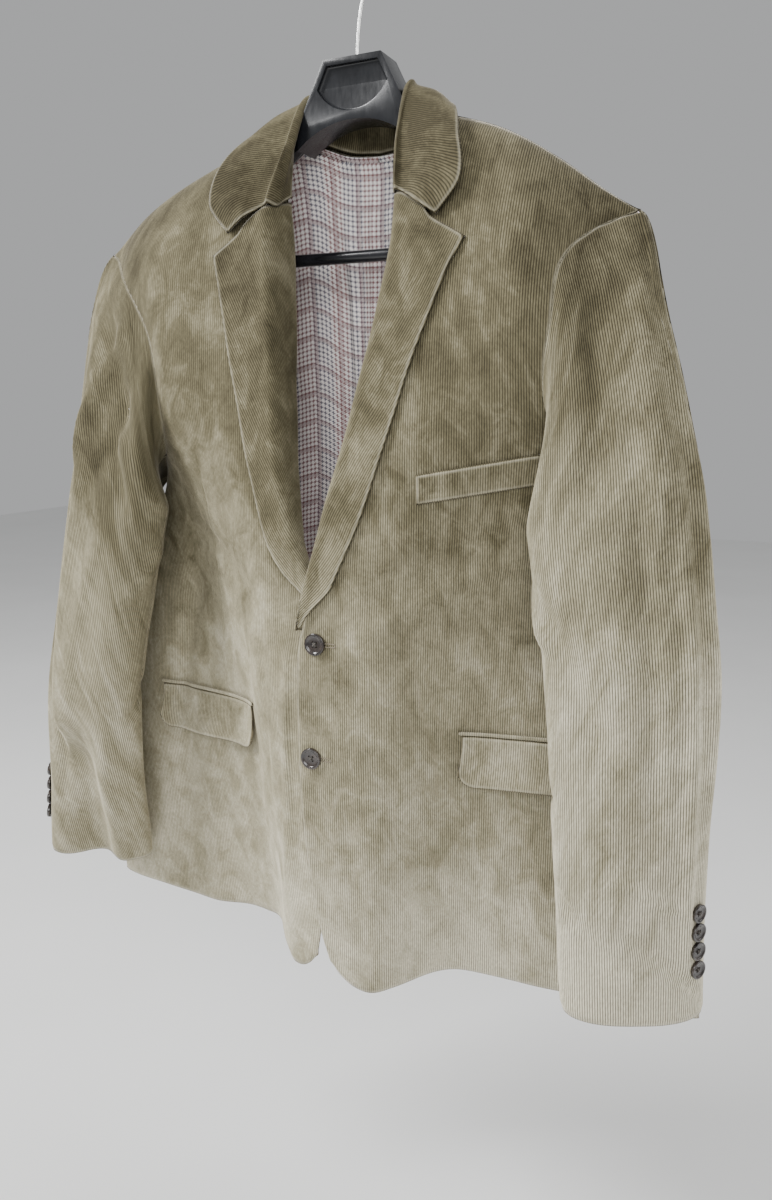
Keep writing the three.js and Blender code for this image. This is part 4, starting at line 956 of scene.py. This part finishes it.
# The lapels: the tops of the fronts turned back, faced with the same corduroy cut on a slant.
# Their edges are seamed and pressed, so that a thicker band runs along them.
LAPEL = {
    "left": table(
        "drop roll edge",
        (-40, 57, 133), (-64, 59, 131), (-105, 58, 128), (-130, 54, 114), (-180, 43, 93),
        (-231, 32, 77), (-302, 14, 56), (-356, 0, 37), (-403, -10, 17), (-436, -17, 3),
        (-470, -22, -8),
    ),
    "right": table(
        "drop roll edge",
        (-40, 60, 124), (-64, 60, 122), (-105, 57, 116), (-130, 54, 111), (-180, 48, 101),
        (-231, 43, 88), (-302, 34, 71), (-356, 20, 54), (-395, 5, 33), (-420, -4, 15),
        (-450, -14, 0),
    ),
}
GORGE_TUCK, GORGE_SINK = 4.0, 1.6
GORGE = table("s drop", (0, -64), (0.2, -68.5), (0.4, -72.5), (0.72, -92.5), (1, -107))
LAPEL_FOOT = {"left": -437, "right": -428}
TAPER = 42
ROLL_SHARE = 0.4
ROLL_REACH = 11
LAPEL_SLANT = math.radians(23)
LAPEL_ROWS = 84
LAPEL_FINE = 90
BAND = 6
BAND_HIGH = 0.55


def front_depth(side, x, drop):
    surface = body_surface(front_place(x, drop), drop)[1] + laid_back(side, x, drop)
    return surface - front_relief(side, x, drop)


def pressed_band(to_edge):
    return BAND_HIGH * (1 - smooth(BAND - 0.6, BAND + 1.2, to_edge))


def lapel_points(side):
    s, v = np.meshgrid(np.linspace(0, 1, LAPEL_FINE), np.linspace(0, 1, LAPEL_ROWS))
    tucked = 1 - smooth(0.56, 0.66, s)
    drop = lerp(read(GORGE, "s", s, "drop") + GORGE_TUCK * tucked, LAPEL_FOOT[side], v)
    roll, edge = read(LAPEL[side], "drop", drop, "roll"), read(LAPEL[side], "drop", drop, "edge")
    fold_x = read(EDGE[side], "drop", drop, "x")
    inset = read(EDGE[side], "drop", drop, "inset")
    taper = smooth(LAPEL_FOOT[side] + TAPER, LAPEL_FOOT[side] - 2, drop)
    edge = lerp(edge, np.minimum(edge, fold_x + 4), taper)
    roll = np.minimum(roll, lerp(fold_x, edge, 0.7))
    meet = np.minimum(roll + ROLL_REACH, lerp(roll, edge, 0.6))
    h = np.clip(s / ROLL_SHARE, 0, 1)
    lying = np.clip((s - ROLL_SHARE) / (1 - ROLL_SHARE), 0, 1)
    flat_x = lerp(meet, edge, lying)
    surface = {
        key: front_depth(side, x, drop) - LIFT
        for key, x in (("fold", fold_x), ("roll", roll), ("meet", meet), ("flat", flat_x))
    }
    start_y = surface["fold"] + inset + LIFT * smooth(1, 12, inset)
    a, b, c = (1 - h) ** 2, 2 * h * (1 - h), h * h
    x = np.where(s >= ROLL_SHARE, flat_x, a * fold_x + b * (roll - 2) + c * meet)
    rolled = a * start_y + b * (surface["roll"] - 3) + c * surface["meet"]
    y = np.where(s >= ROLL_SHARE, surface["flat"], rolled)
    below = np.maximum(drop - read(GORGE, "s", s, "drop") + 2, 0) / (GORGE_TUCK + 2)
    return settled(x, y + GORGE_SINK * below * tucked, drop, side)


for side, sign in SIDES.items():
    points = lapel_points(side)
    fall = np.array([0, 0, -1.0])
    out = unit_rows(np.cross(grid_normals(points, sign), fall)) * sign
    way = fall * math.cos(LAPEL_SLANT) - out * math.sin(LAPEL_SLANT)
    grain = wale_grain(points, way, sign)
    run, down = along_rows(points), along_columns(points)
    to_edge = np.minimum(run[:, -1:] - run, down)
    relief = pressed_band(to_edge) + unevenness(points[..., 0], points[..., 2], 0.3)
    piece = cut_cloth("lapel_" + side + "_cloth", points, sign, grain, relief)
    dress(piece, "lapel_" + side, corduroy, corduroy)


# The collar: one strip whose stand rises round the neck, rolls over and falls as the leaf. It is
# cut across the cloth, so that its wales run from the roll down to the leaf's edge.
COLLAR = table(
    "at fx fy foot rx ry roll ex ey edge round",
    (0, 0, 46, -10.5, 0, 50, 38, 0, 66, -30, 4), (0.2, 30, 40, -7.5, 25, 42, 38, 42, 60, -24, 4),
    (0.42, 62, 20, 4, 46, 20, 38, 80, 34, -3, 4.5), (0.6, 67, 0, 6, 52, -6, 29, 97, -6, 4.6, 5),
    (0.78, 58, -14, -22, 55, -34, -14, 114, -45, -24, 6),
    (0.93, 53, -26, -48, 60, -52, -50, 121, -60, -63, 7),
    (1, 51, -30, -57, 62, -57, -65, 101, -61.5, -89, 7),
)
COLLAR_LEAN = 0.4
COLLAR_ROWS = 44
COLLAR_FINE = 240


def collar_points(w, s):
    at = np.abs(w)
    value = {c: read(COLLAR, "at", at, c) for c in COLLAR if c != "at"}
    foot = np.stack([value["fx"], value["fy"], value["foot"]], -1)
    top = np.stack([value["rx"], value["ry"], value["roll"]], -1)
    edge = np.stack([value["ex"], value["ey"], value["edge"]], -1)
    bulge = value["round"][..., None]
    outward = unit_rows(edge - foot)
    across = unit_rows(outward * np.array([1, 1, 0]))
    fall = smooth(0.6, 1, at)
    down = unit_rows(np.stack([0 * at, fall, -1 + 0.6 * fall], -1))
    inside = top - across * bulge * 0.8 + down * bulge
    outside = top + across * bulge + down * bulge
    late, early = smooth(0.6, 0.9, at), smooth(0.5, 0.9, at)
    lift = unit_rows(np.stack([across[..., 0] * 0.5, across[..., 1] * 0.5 - late, 1 - early], -1))
    lifted = lerp(top, edge, 0.55) + lift * 4
    ring = [foot, lerp(foot, inside, 0.55), inside, top, outside, lifted, edge]
    place = s * 6
    x, y, z = (through([p[..., k] for p in ring], place) for k in range(3))
    left, right = settled(np.abs(x), y, z, "left"), settled(np.abs(x), y, z, "right")
    return np.where((w < 0)[..., None], right, left)


w, s = np.meshgrid(np.linspace(-0.999, 0.999, COLLAR_FINE), np.linspace(0, 1, COLLAR_ROWS))
points = collar_points(w, s)
along = unit_rows(np.gradient(points, axis=1))
fall = np.cross(along, grid_normals(points, -1))
fall *= np.sign((fall * np.gradient(points, axis=0)).sum(-1, keepdims=True))
lean = (smooth(0.3, 0.75, np.abs(w)) * smooth(0.35, 0.6, s) * np.sign(w))[..., None]
grain = wale_grain(points, fall + along * lean * COLLAR_LEAN, -1)
run, down = along_rows(points), along_columns(points)
to_edge = np.minimum(np.minimum(run, run[:, -1:] - run), down[-1:] - down)
relief = pressed_band(to_edge) * smooth(0.5, 0.7, s) + unevenness(grain, down, 0.3)
piece = cut_cloth("collar_cloth", points, -1, grain, relief)
dress(piece, "collar", corduroy, corduroy)


# The pockets: a flap with rounded corners under a narrow jet at each hip, and a slanting welt
# on the left breast. All are double cloth, turned and pressed at their edges.
FLAP = {"x": 111.5, "lead": 8, "width": 142, "height": 47, "drop": -536, "tilt": -4, "corner": 14}
FLAP_STAND = (3.5, 13)
FLAP_ROWS = 20
FLAP_FINE = 70
JET = {"height": 5, "over": 3, "stand": 3.9}
WELT = {"x": 91, "width": 96, "drop": -297, "rise": 18, "height": 25, "wall": 2.0}


def on_front(side, x, drop, out):
    return settled(x, front_depth(side, x, drop) - out, drop, side)


def flap_points(side):
    u, v = np.meshgrid(np.linspace(0, 1, FLAP_FINE), np.linspace(0, 1, FLAP_ROWS))
    from_end = np.minimum(u, 1 - u) * FLAP["width"]
    into = np.clip(1 - from_end / FLAP["corner"], 0, 0.995)
    rounded = 1 - FLAP["corner"] / FLAP["height"] * (1 - np.sqrt(1 - into * into))
    x = FLAP["x"] + SIDES[side] * FLAP["lead"] + u * FLAP["width"]
    drop = FLAP["drop"] + FLAP["tilt"] * u - v * FLAP["height"] * rounded
    curl = 1.4 * np.sin(u * 7 + SIDES[side]) * v * v
    return on_front(side, x, drop, lerp(*FLAP_STAND, v * v) + curl)


def jet_points(side):
    u, v = np.meshgrid(np.linspace(0, 1, FLAP_FINE), np.linspace(0, 1, 9))
    x = FLAP["x"] + SIDES[side] * FLAP["lead"] - JET["over"] + u * (FLAP["width"] + 2 * JET["over"])
    drop = FLAP["drop"] + FLAP["tilt"] * u + SEAM_GAP + JET["height"] * (1 - v)
    round_over = 1.2 * np.sqrt(np.clip(1 - (2 * v - 1) ** 2, 0, 1))
    return on_front(side, x, drop, JET["stand"] - 1.2 + round_over)


def welt_points():
    u, v = np.meshgrid(np.linspace(0, 1, FLAP_FINE), np.linspace(0, 1, 14))
    x = WELT["x"] + u * WELT["width"]
    drop = WELT["drop"] + WELT["rise"] * u - v * WELT["height"]
    return on_front("left", x, drop, WELT["wall"] + 1.2)


def patch(node, points, facing, thick=CLOTH, band=True):
    run, down = along_rows(points), along_columns(points)
    to_edge = np.minimum(np.minimum(run, run[:, -1:] - run), down[-1:] - down)
    relief = pressed_band(to_edge) if band else None
    grain = panel_grain(points, facing, "front")
    piece = cut_cloth(node + "_cloth", points, facing, grain, relief, thick)
    dress(piece, node, corduroy, corduroy)


for side, sign in SIDES.items():
    patch("pocket_flap_" + side, flap_points(side), sign)
    patch("pocket_jet_" + side, jet_points(side), sign, band=False)
patch("breast_welt", welt_points(), 1, WELT["wall"])


# The lining of the back, seen through the neck: a smooth checked cloth, felled in at the neck
# and armholes and pleated down the middle so that the back can stretch.
LINING = 1.2
LINING_LAY = 3.8
LINING_SIDE = 156
LINING_FOOT = -762
LINING_ROWS = 120
LINING_FINE = 130
LINING_DEEP = 1.6
LINING_CREASES = [
    (-6, -20, -2, -420, 6, 3.4, 3), (14, -30, 26, -500, 9, 4.2, 4),
    (-34, -60, -26, -420, 8, 3.0, -4), (40, -120, 34, -460, 7, -2.2, 3),
    (-16, -90, -12, -520, 5, -2.2, 2), (60, -60, 80, -300, 10, 2.4, 3),
]
u, v = np.meshgrid(np.linspace(0, 1, LINING_FINE), np.linspace(0, 1, LINING_ROWS) ** 1.25)
x = lerp(-LINING_SIDE, LINING_SIDE, u)
drop = lerp(top_drop("back", np.abs(x)) - 5, LINING_FOOT, v)
t = section_place(np.abs(x), drop, 4.6, 7)
body_x, body_y = body_surface(t, drop)
points = np.where(
    (x < 0)[..., None],
    settled(body_x, body_y, drop, "right"),
    settled(body_x, body_y, drop, "left"),
)
relief = -(CLOTH + LINING_LAY) * np.ones(x.shape)
lift = creases(LINING_CREASES, x, drop) + unevenness(x, drop, 0.5)
points = points + grid_normals(points, -1) * (relief - LINING_DEEP * lift * smooth(0, 0.1, v))[..., None]
piece = cut_cloth("back_lining_cloth", points, 1, panel_grain(points, 1, "back"), None, LINING, 6, 0.0)
dress(
    piece, "back_lining", inside_cloth, inside_cloth
)


# The hanger: a moulded frame with a thick neck plate, sunk in its middle and bevelled all round,
# on an arched underside. The arms follow the shoulders, and a round bar carries trousers.
def plain_black(name, base, worn, roughness, scale):
    material, tree, shader = new_material(name, Specular_IOR_Level=0.5, Coat_Weight=0.1)
    place = put(tree, "ShaderNodeTexCoord").outputs["Object"]
    cloudy = noise(tree, place, scale, 4.0, 0.6)
    colour = ramp(tree, cloudy, (0.35, base), (0.75, worn))
    fine = noise(tree, place, scale * 14, 3.0, 0.6, stretch=(1, 1, 0.25))
    both = maths(tree, "ADD", cloudy, fine)
    rough = maths(tree, "MULTIPLY_ADD", both, 0.16, roughness - 0.16)
    tree.links.new(rough, shader.inputs["Roughness"])
    shader.inputs["Coat Roughness"].default_value = roughness
    surfaced(tree, shader, colour, fine, 0.06, 0.0002)
    return material


def start(kind, **settings):
    bpy.ops.object.select_all(action="DESELECT")
    getattr(bpy.ops.mesh, "primitive_" + kind + "_add")(**settings)
    bpy.ops.object.transform_apply(location=True, rotation=True, scale=True)
    return bpy.context.object


def chosen(*pieces):
    bpy.ops.object.select_all(action="DESELECT")
    for piece in pieces:
        piece.select_set(True)
    bpy.context.view_layer.objects.active = pieces[0]


def join(pieces):
    chosen(*pieces)
    bpy.ops.object.join()
    return pieces[0]


def modify(piece, kind, **settings):
    chosen(piece)
    modifier = piece.modifiers.new(kind.lower(), kind)
    if kind == "BEVEL":
        modifier.limit_method = "ANGLE"
    for key, value in settings.items():
        setattr(modifier, key, value)
    bpy.ops.object.modifier_apply(modifier=modifier.name)


def edit(piece, wanted=None):
    chosen(piece)
    bpy.ops.object.mode_set(mode="EDIT")
    bpy.ops.mesh.select_mode(type="FACE")
    bpy.ops.mesh.select_all(action="SELECT" if wanted is None else "DESELECT")
    if wanted:
        bpy.ops.object.mode_set(mode="OBJECT")
        for face in piece.data.polygons:
            face.select = bool(wanted(face.center / MM, face.normal))
        bpy.ops.object.mode_set(mode="EDIT")


def cut_away(piece, point, normal):
    edit(piece)
    place = Vector(point) * MM
    bpy.ops.mesh.bisect(plane_co=place, plane_no=normal, use_fill=True, clear_outer=True)
    bpy.ops.object.mode_set(mode="OBJECT")


def take_out(piece, cutter):
    modify(piece, "BOOLEAN", object=cutter, operation="DIFFERENCE")
    bpy.data.objects.remove(cutter)


def merged_copy(node, name):
    mesh = bpy.data.objects[node].data.copy()
    piece = bpy.data.objects.new(name, mesh)
    mesh.materials.clear()
    bpy.context.scene.collection.objects.link(piece)
    edit(piece)
    bpy.ops.mesh.remove_doubles(threshold=0.00002)
    bpy.ops.object.mode_set(mode="OBJECT")
    return piece


def finished(piece, name, node, material, angle=35):
    piece.name = name
    if not piece.data.materials:
        piece.data.materials.append(material)
    chosen(piece)
    bpy.ops.object.shade_smooth_by_angle(angle=math.radians(angle))
    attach(piece, "root")
    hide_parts(node)


PLATE_TOP, PLATE_SHOULDER, PLATE_SIDE = 57, (29, 55.5), (47, 21)
PLATE_FRONT, PLATE_BACK = -11, 21
ARCH_RADIUS, ARCH_TOP = 86, 6.5
SUNK = 4.0
SUNK_RIM = 5.0


def trim_plate(piece, inset):
    (x0, z0), (x1, z1) = PLATE_SHOULDER, PLATE_SIDE
    across = Vector((z0 - z1, 0, x1 - x0)).normalized()
    for sign in (1, -1):
        out = Vector((sign * across.x, 0, across.z))
        point = Vector((sign * x0, 0, z0 + NECK_Z)) - out * inset
        cut_away(piece, point, out)


plate = start(
    "cube", size=MM, location=(0, (PLATE_FRONT + PLATE_BACK) / 2 * MM, (20 + NECK_Z) * MM),
    scale=(112, PLATE_BACK - PLATE_FRONT, 2 * (PLATE_TOP - 20)),
)
trim_plate(plate, 0)
arch = start(
    "cylinder", vertices=160, radius=ARCH_RADIUS * MM, depth=0.1, rotation=(math.pi / 2, 0, 0),
    location=(0, 0, (ARCH_TOP - ARCH_RADIUS + NECK_Z) * MM),
)
take_out(plate, arch)
modify(plate, "BEVEL", width=3.4 * MM, segments=5, angle_limit=math.radians(25))
hollow = start(
    "cylinder", vertices=96, radius=40 * MM, depth=2 * SUNK * MM, rotation=(math.pi / 2, 0, 0),
    location=(0, PLATE_FRONT * MM, (53.5 + NECK_Z) * MM),
)
trim_plate(hollow, SUNK_RIM)
cut_away(hollow, (0, 0, PLATE_TOP - SUNK_RIM + NECK_Z), (0, 0, 1))
edit(hollow, lambda centre, normal: normal.y > 0.9)
bpy.ops.mesh.bevel(offset=2.6 * MM, segments=5, affect="EDGES")
bpy.ops.object.mode_set(mode="OBJECT")
take_out(plate, hollow)
modify(plate, "BEVEL", width=0.8 * MM, segments=3, angle_limit=math.radians(30))

arms = merged_copy("hanger_frame", "arms")
inner = start("cube", size=MM, location=(0, 0, NECK_Z * MM), scale=(76, 80, 200))
take_out(arms, inner)
modify(arms, "BEVEL", width=1.6 * MM, segments=3, angle_limit=math.radians(28))
join([plate, arms])
black = plain_black("hanger_black", (0.005, 0.0055, 0.007), (0.014, 0.015, 0.018), 0.24, 22.0)
finished(plate, "hanger_model", "hanger_frame", black, 32)

BAR_REACH, BAR_DROP, BAR_RADIUS = 215.2, -107, 5.5
bar = start(
    "cylinder", vertices=48, radius=BAR_RADIUS * MM, depth=2 * BAR_REACH * MM,
    rotation=(0, math.pi / 2, 0), location=(0, 1 * MM, (BAR_DROP + NECK_Z) * MM),
)
modify(bar, "BEVEL", width=1.0 * MM, segments=3, angle_limit=math.radians(40))
finished(bar, "trouser_bar_model", "trouser_bar", black, 40)


# The hook: plated steel wire that rises from the plate, leans and turns over, rounded at its tip.
steel, tree, shader = new_material("plated_wire", Metallic=1.0)
place = put(tree, "ShaderNodeTexCoord").outputs["Object"]
cloudy = noise(tree, place, 90.0, 3.0)
shade = ramp(tree, cloudy, (0.3, (0.50, 0.50, 0.49)), (0.7, (0.72, 0.72, 0.70)))
drawn = noise(tree, place, 900.0, 2.0, 0.5, stretch=(1, 1, 0.08))
rough = maths(tree, "MULTIPLY_ADD", cloudy, 0.2, 0.16)
tree.links.new(rough, shader.inputs["Roughness"])
surfaced(tree, shader, shade, drawn, 0.15, 0.0001)

wire = merged_copy("hook", "hook_model")
modify(wire, "SUBSURF", levels=2, render_levels=2)
finished(wire, "hook_model", "hook", steel, 60)


# The buttons: turned discs of dark horn look with a rounded rim, a dished middle and four holes,
# sewn on with crossed threads. Each sits on the cloth where it was sewn, square to it.
def horn_look(name):
    material, tree, shader = new_material(name, Specular_IOR_Level=0.6, Coat_Weight=0.5)
    place = put(tree, "ShaderNodeTexCoord").outputs["Object"]
    swirl = noise(tree, place, 130.0, 4.0, 0.65, stretch=(1, 0.4, 1))
    colour = ramp(
        tree, swirl, (0.35, (0.010, 0.008, 0.008)), (0.6, (0.035, 0.026, 0.022)),
        (0.8, (0.09, 0.07, 0.055)),
    )
    rough = maths(tree, "MULTIPLY_ADD", swirl, 0.2, 0.12)
    tree.links.new(rough, shader.inputs["Roughness"])
    surfaced(tree, shader, colour, noise(tree, place, 1500.0, 2.0), 0.08, 0.0001)
    return material


def twisted_thread(name, tint):
    material, tree, shader = new_material(name, Roughness=0.75, Sheen_Weight=0.4)
    place = put(tree, "ShaderNodeTexCoord").outputs["Object"]
    inputs = {"Vector": place, "Scale": 900.0, "Distortion": 1.0}
    twist = put(tree, "ShaderNodeTexWave", inputs).outputs["Fac"]
    pale, deep = tuple(1.5 * c for c in tint), tuple(0.5 * c for c in tint)
    colour = ramp(tree, twist, (0.2, deep), (0.8, pale))
    surfaced(tree, shader, colour, twist, 0.5, 0.0002)
    return material


horn = horn_look("dark_horn")
sewing = twisted_thread("sewing_thread", (0.045, 0.036, 0.026))


def button_blank(radius, thick, rim, dish):
    size = {"radius": radius * MM, "depth": thick * MM, "location": (0, 0, thick / 2 * MM)}
    blank = start("cylinder", vertices=72, **size)
    edit(blank, lambda centre, normal: normal.z > 0.9)
    bpy.ops.mesh.inset(thickness=rim * MM)
    bpy.ops.mesh.inset(thickness=0.8 * MM, depth=-dish * MM)
    bpy.ops.mesh.inset(thickness=1.4 * MM, depth=-0.3 * MM)
    bpy.ops.object.mode_set(mode="OBJECT")
    modify(blank, "BEVEL", width=0.7 * MM, segments=4, angle_limit=math.radians(24))
    spread, bore = radius * 0.19, radius * 0.095
    places = [(spread, spread), (-spread, spread), (-spread, -spread), (spread, -spread)]
    size = {"radius": bore * MM, "depth": 4 * thick * MM}
    holes = [
        start("cylinder", vertices=20, location=(x * MM, y * MM, 0), **size) for x, y in places
    ]
    take_out(blank, join(holes))
    floor_of_dish = thick - dish - 0.3
    threads = [blank]
    for turn_by in (1, 3):
        strand = start(
            "cylinder", vertices=14, radius=bore * 0.8 * MM, depth=2.5 * spread * MM,
            location=(0, 0, (floor_of_dish + 0.25 * turn_by) * MM),
            rotation=(math.pi / 2, 0, turn_by * math.pi / 4),
        )
        modify(strand, "BEVEL", width=bore * 0.6 * MM, segments=3)
        threads.append(strand)
    for piece in threads:
        for material in (horn, sewing):
            piece.data.materials.append(material)
    for strand in threads[1:]:
        for face in strand.data.polygons:
            face.material_index = 1
    return join(threads)


def facing_out(place, outward, lift):
    out = Vector(outward).normalized()
    right = Vector((0, 0, 1)).cross(out).normalized()
    turned = Matrix((right, out.cross(right), out)).transposed().to_4x4()
    return Matrix.Translation((Vector(place) + out * lift) * MM) @ turned


def placed_copy(piece, name, matrix):
    mesh = piece.data.copy()
    mesh.transform(matrix)
    copy = bpy.data.objects.new(name, mesh)
    bpy.context.scene.collection.objects.link(copy)
    return copy


def front_spot(side, x, drop, reach=5.0):
    def at(dx, dz):
        return Vector(on_front(side, np.float64(x + dx), np.float64(drop + dz), 0.0))

    out = (at(reach, 0) - at(-reach, 0)).cross(at(0, reach) - at(0, -reach)) * SIDES[side]
    return at(0, 0), out


def sleeve_spot(side, ring, drop):
    guess = np.linspace(0, ARMHOLE_ROWS, 600)
    q = float(guess[np.argmin(np.abs(ring_angle(guess) - ring))])
    v = lerp(CAP, 1, (drop - TUBE_TOP) / (CUFF_DROP - TUBE_TOP))

    def at(dq, dv):
        return Vector(sleeve_points(side, np.float64(q + dq), np.float64(v + dv)))

    out = (at(0.05, 0) - at(-0.05, 0)).cross(at(0, 0.01) - at(0, -0.01))
    return at(0, 0), out * SIDES[side]


FRONT_BUTTON = {"radius": 10, "thick": 3.4, "rim": 2.0, "dish": 1.0}
CUFF_BUTTON = {"radius": 7.9, "thick": 3.0, "rim": 1.6, "dish": 0.8}
FRONT_SPOTS = [(4, -449), (-1, -557)]
CUFF_RING = {"left": 38, "right": 12}
CUFF_LOWEST, CUFF_PITCH = -695, 17
SEWN_LIFT = 0.9


def sewn_on(blank, node, place, out):
    copy = placed_copy(blank, node + "_model", facing_out(place, out, SEWN_LIFT))
    finished(copy, node + "_model", node, horn, 50)


blank = button_blank(**FRONT_BUTTON)
for i, spot in enumerate(FRONT_SPOTS, 1):
    sewn_on(blank, "front_button_" + str(i), *front_spot("left", *spot))
bpy.data.objects.remove(blank)

blank = button_blank(**CUFF_BUTTON)
for side in SIDES:
    for i in range(4):
        spot = sleeve_spot(side, CUFF_RING[side], CUFF_LOWEST + i * CUFF_PITCH)
        sewn_on(blank, "cuff_button_" + side + "_" + str(i + 1), *spot)
bpy.data.objects.remove(blank)


# The buttonholes: a close ring of twisted thread worked round the slit beside each front button.
# The thread is a little paler than the cloth, and the ring is flattened as it is pressed.
HOLE_LONG, HOLE_BESIDE = 21, 9
THREAD_RING, THREAD_ROUND = 1.5, 0.55
HOLE_LIFT = 0.45
worked = twisted_thread("buttonhole_twist", (0.19, 0.155, 0.10))


def worked_hole(name, place, out):
    ring = start(
        "torus", major_segments=64, minor_segments=10, major_radius=THREAD_RING * MM,
        minor_radius=THREAD_ROUND * MM,
    )
    for sign in (1, -1):
        edit(ring, lambda centre, normal: centre.x * sign > 0.05)
        bpy.ops.transform.translate(value=((HOLE_LONG / 2 - THREAD_RING) * sign * MM, 0, 0))
        bpy.ops.object.mode_set(mode="OBJECT")
    edit(ring)
    bpy.ops.transform.resize(value=(1, 1, 0.7))
    bpy.ops.object.mode_set(mode="OBJECT")
    ring.data.transform(facing_out(place, out, HOLE_LIFT))
    ring.name = name
    ring.data.materials.append(worked)
    bpy.ops.object.shade_smooth_by_angle(angle=math.radians(60))
    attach(ring, "root")


for i, (x, drop) in enumerate(FRONT_SPOTS, 1):
    worked_hole("front_buttonhole_" + str(i), *front_spot("left", x + HOLE_BESIDE, drop, 8.0))


# The floor and the studio light: a pale floor below the hanging jacket, a wide soft light from
# the front left, a weaker one from the right and a pale surround.
FLOOR_DROP = -1.35
bpy.ops.object.select_all(action="DESELECT")
bpy.ops.mesh.primitive_plane_add(size=12, location=(0, 0, FLOOR_DROP))
floor = bpy.context.object
floor.name = "floor"
floor_paint, tree, shader = new_material("floor_paint", Roughness=0.8)
place = put(tree, "ShaderNodeTexCoord").outputs["Object"]
tone = ramp(tree, noise(tree, place, 2.0), (0.3, (0.80, 0.80, 0.79)), (0.7, (0.84, 0.84, 0.83)))
tree.links.new(tone, shader.inputs["Base Color"])
floor.data.materials.append(floor_paint)

LIGHTS = [
    ("key", (-1.7, -1.3, 1.3), 0.9, 112),
    ("fill", (0.75, -1.9, 0.35), 1.3, 32),
    ("edge", (1.8, 0.4, 0.5), 1.2, 18),
    ("top", (0.1, 0.5, 1.5), 1.6, 14),
]
AIM = Vector((0, 0, -0.5))
for name, place, size, power in LIGHTS:
    lamp = bpy.data.lights.new(name, "AREA")
    lamp.size = size
    lamp.energy = power
    light = bpy.data.objects.new(name, lamp)
    light.location = place
    light.rotation_euler = (AIM - Vector(place)).to_track_quat("-Z", "Y").to_euler()
    bpy.context.scene.collection.objects.link(light)

surround = bpy.data.worlds.new("surround")
surround.use_nodes = True
background = surround.node_tree.nodes["Background"]
background.inputs["Color"].default_value = (0.90, 0.91, 0.92, 1)
background.inputs["Strength"].default_value = 0.48
bpy.context.scene.world = surround
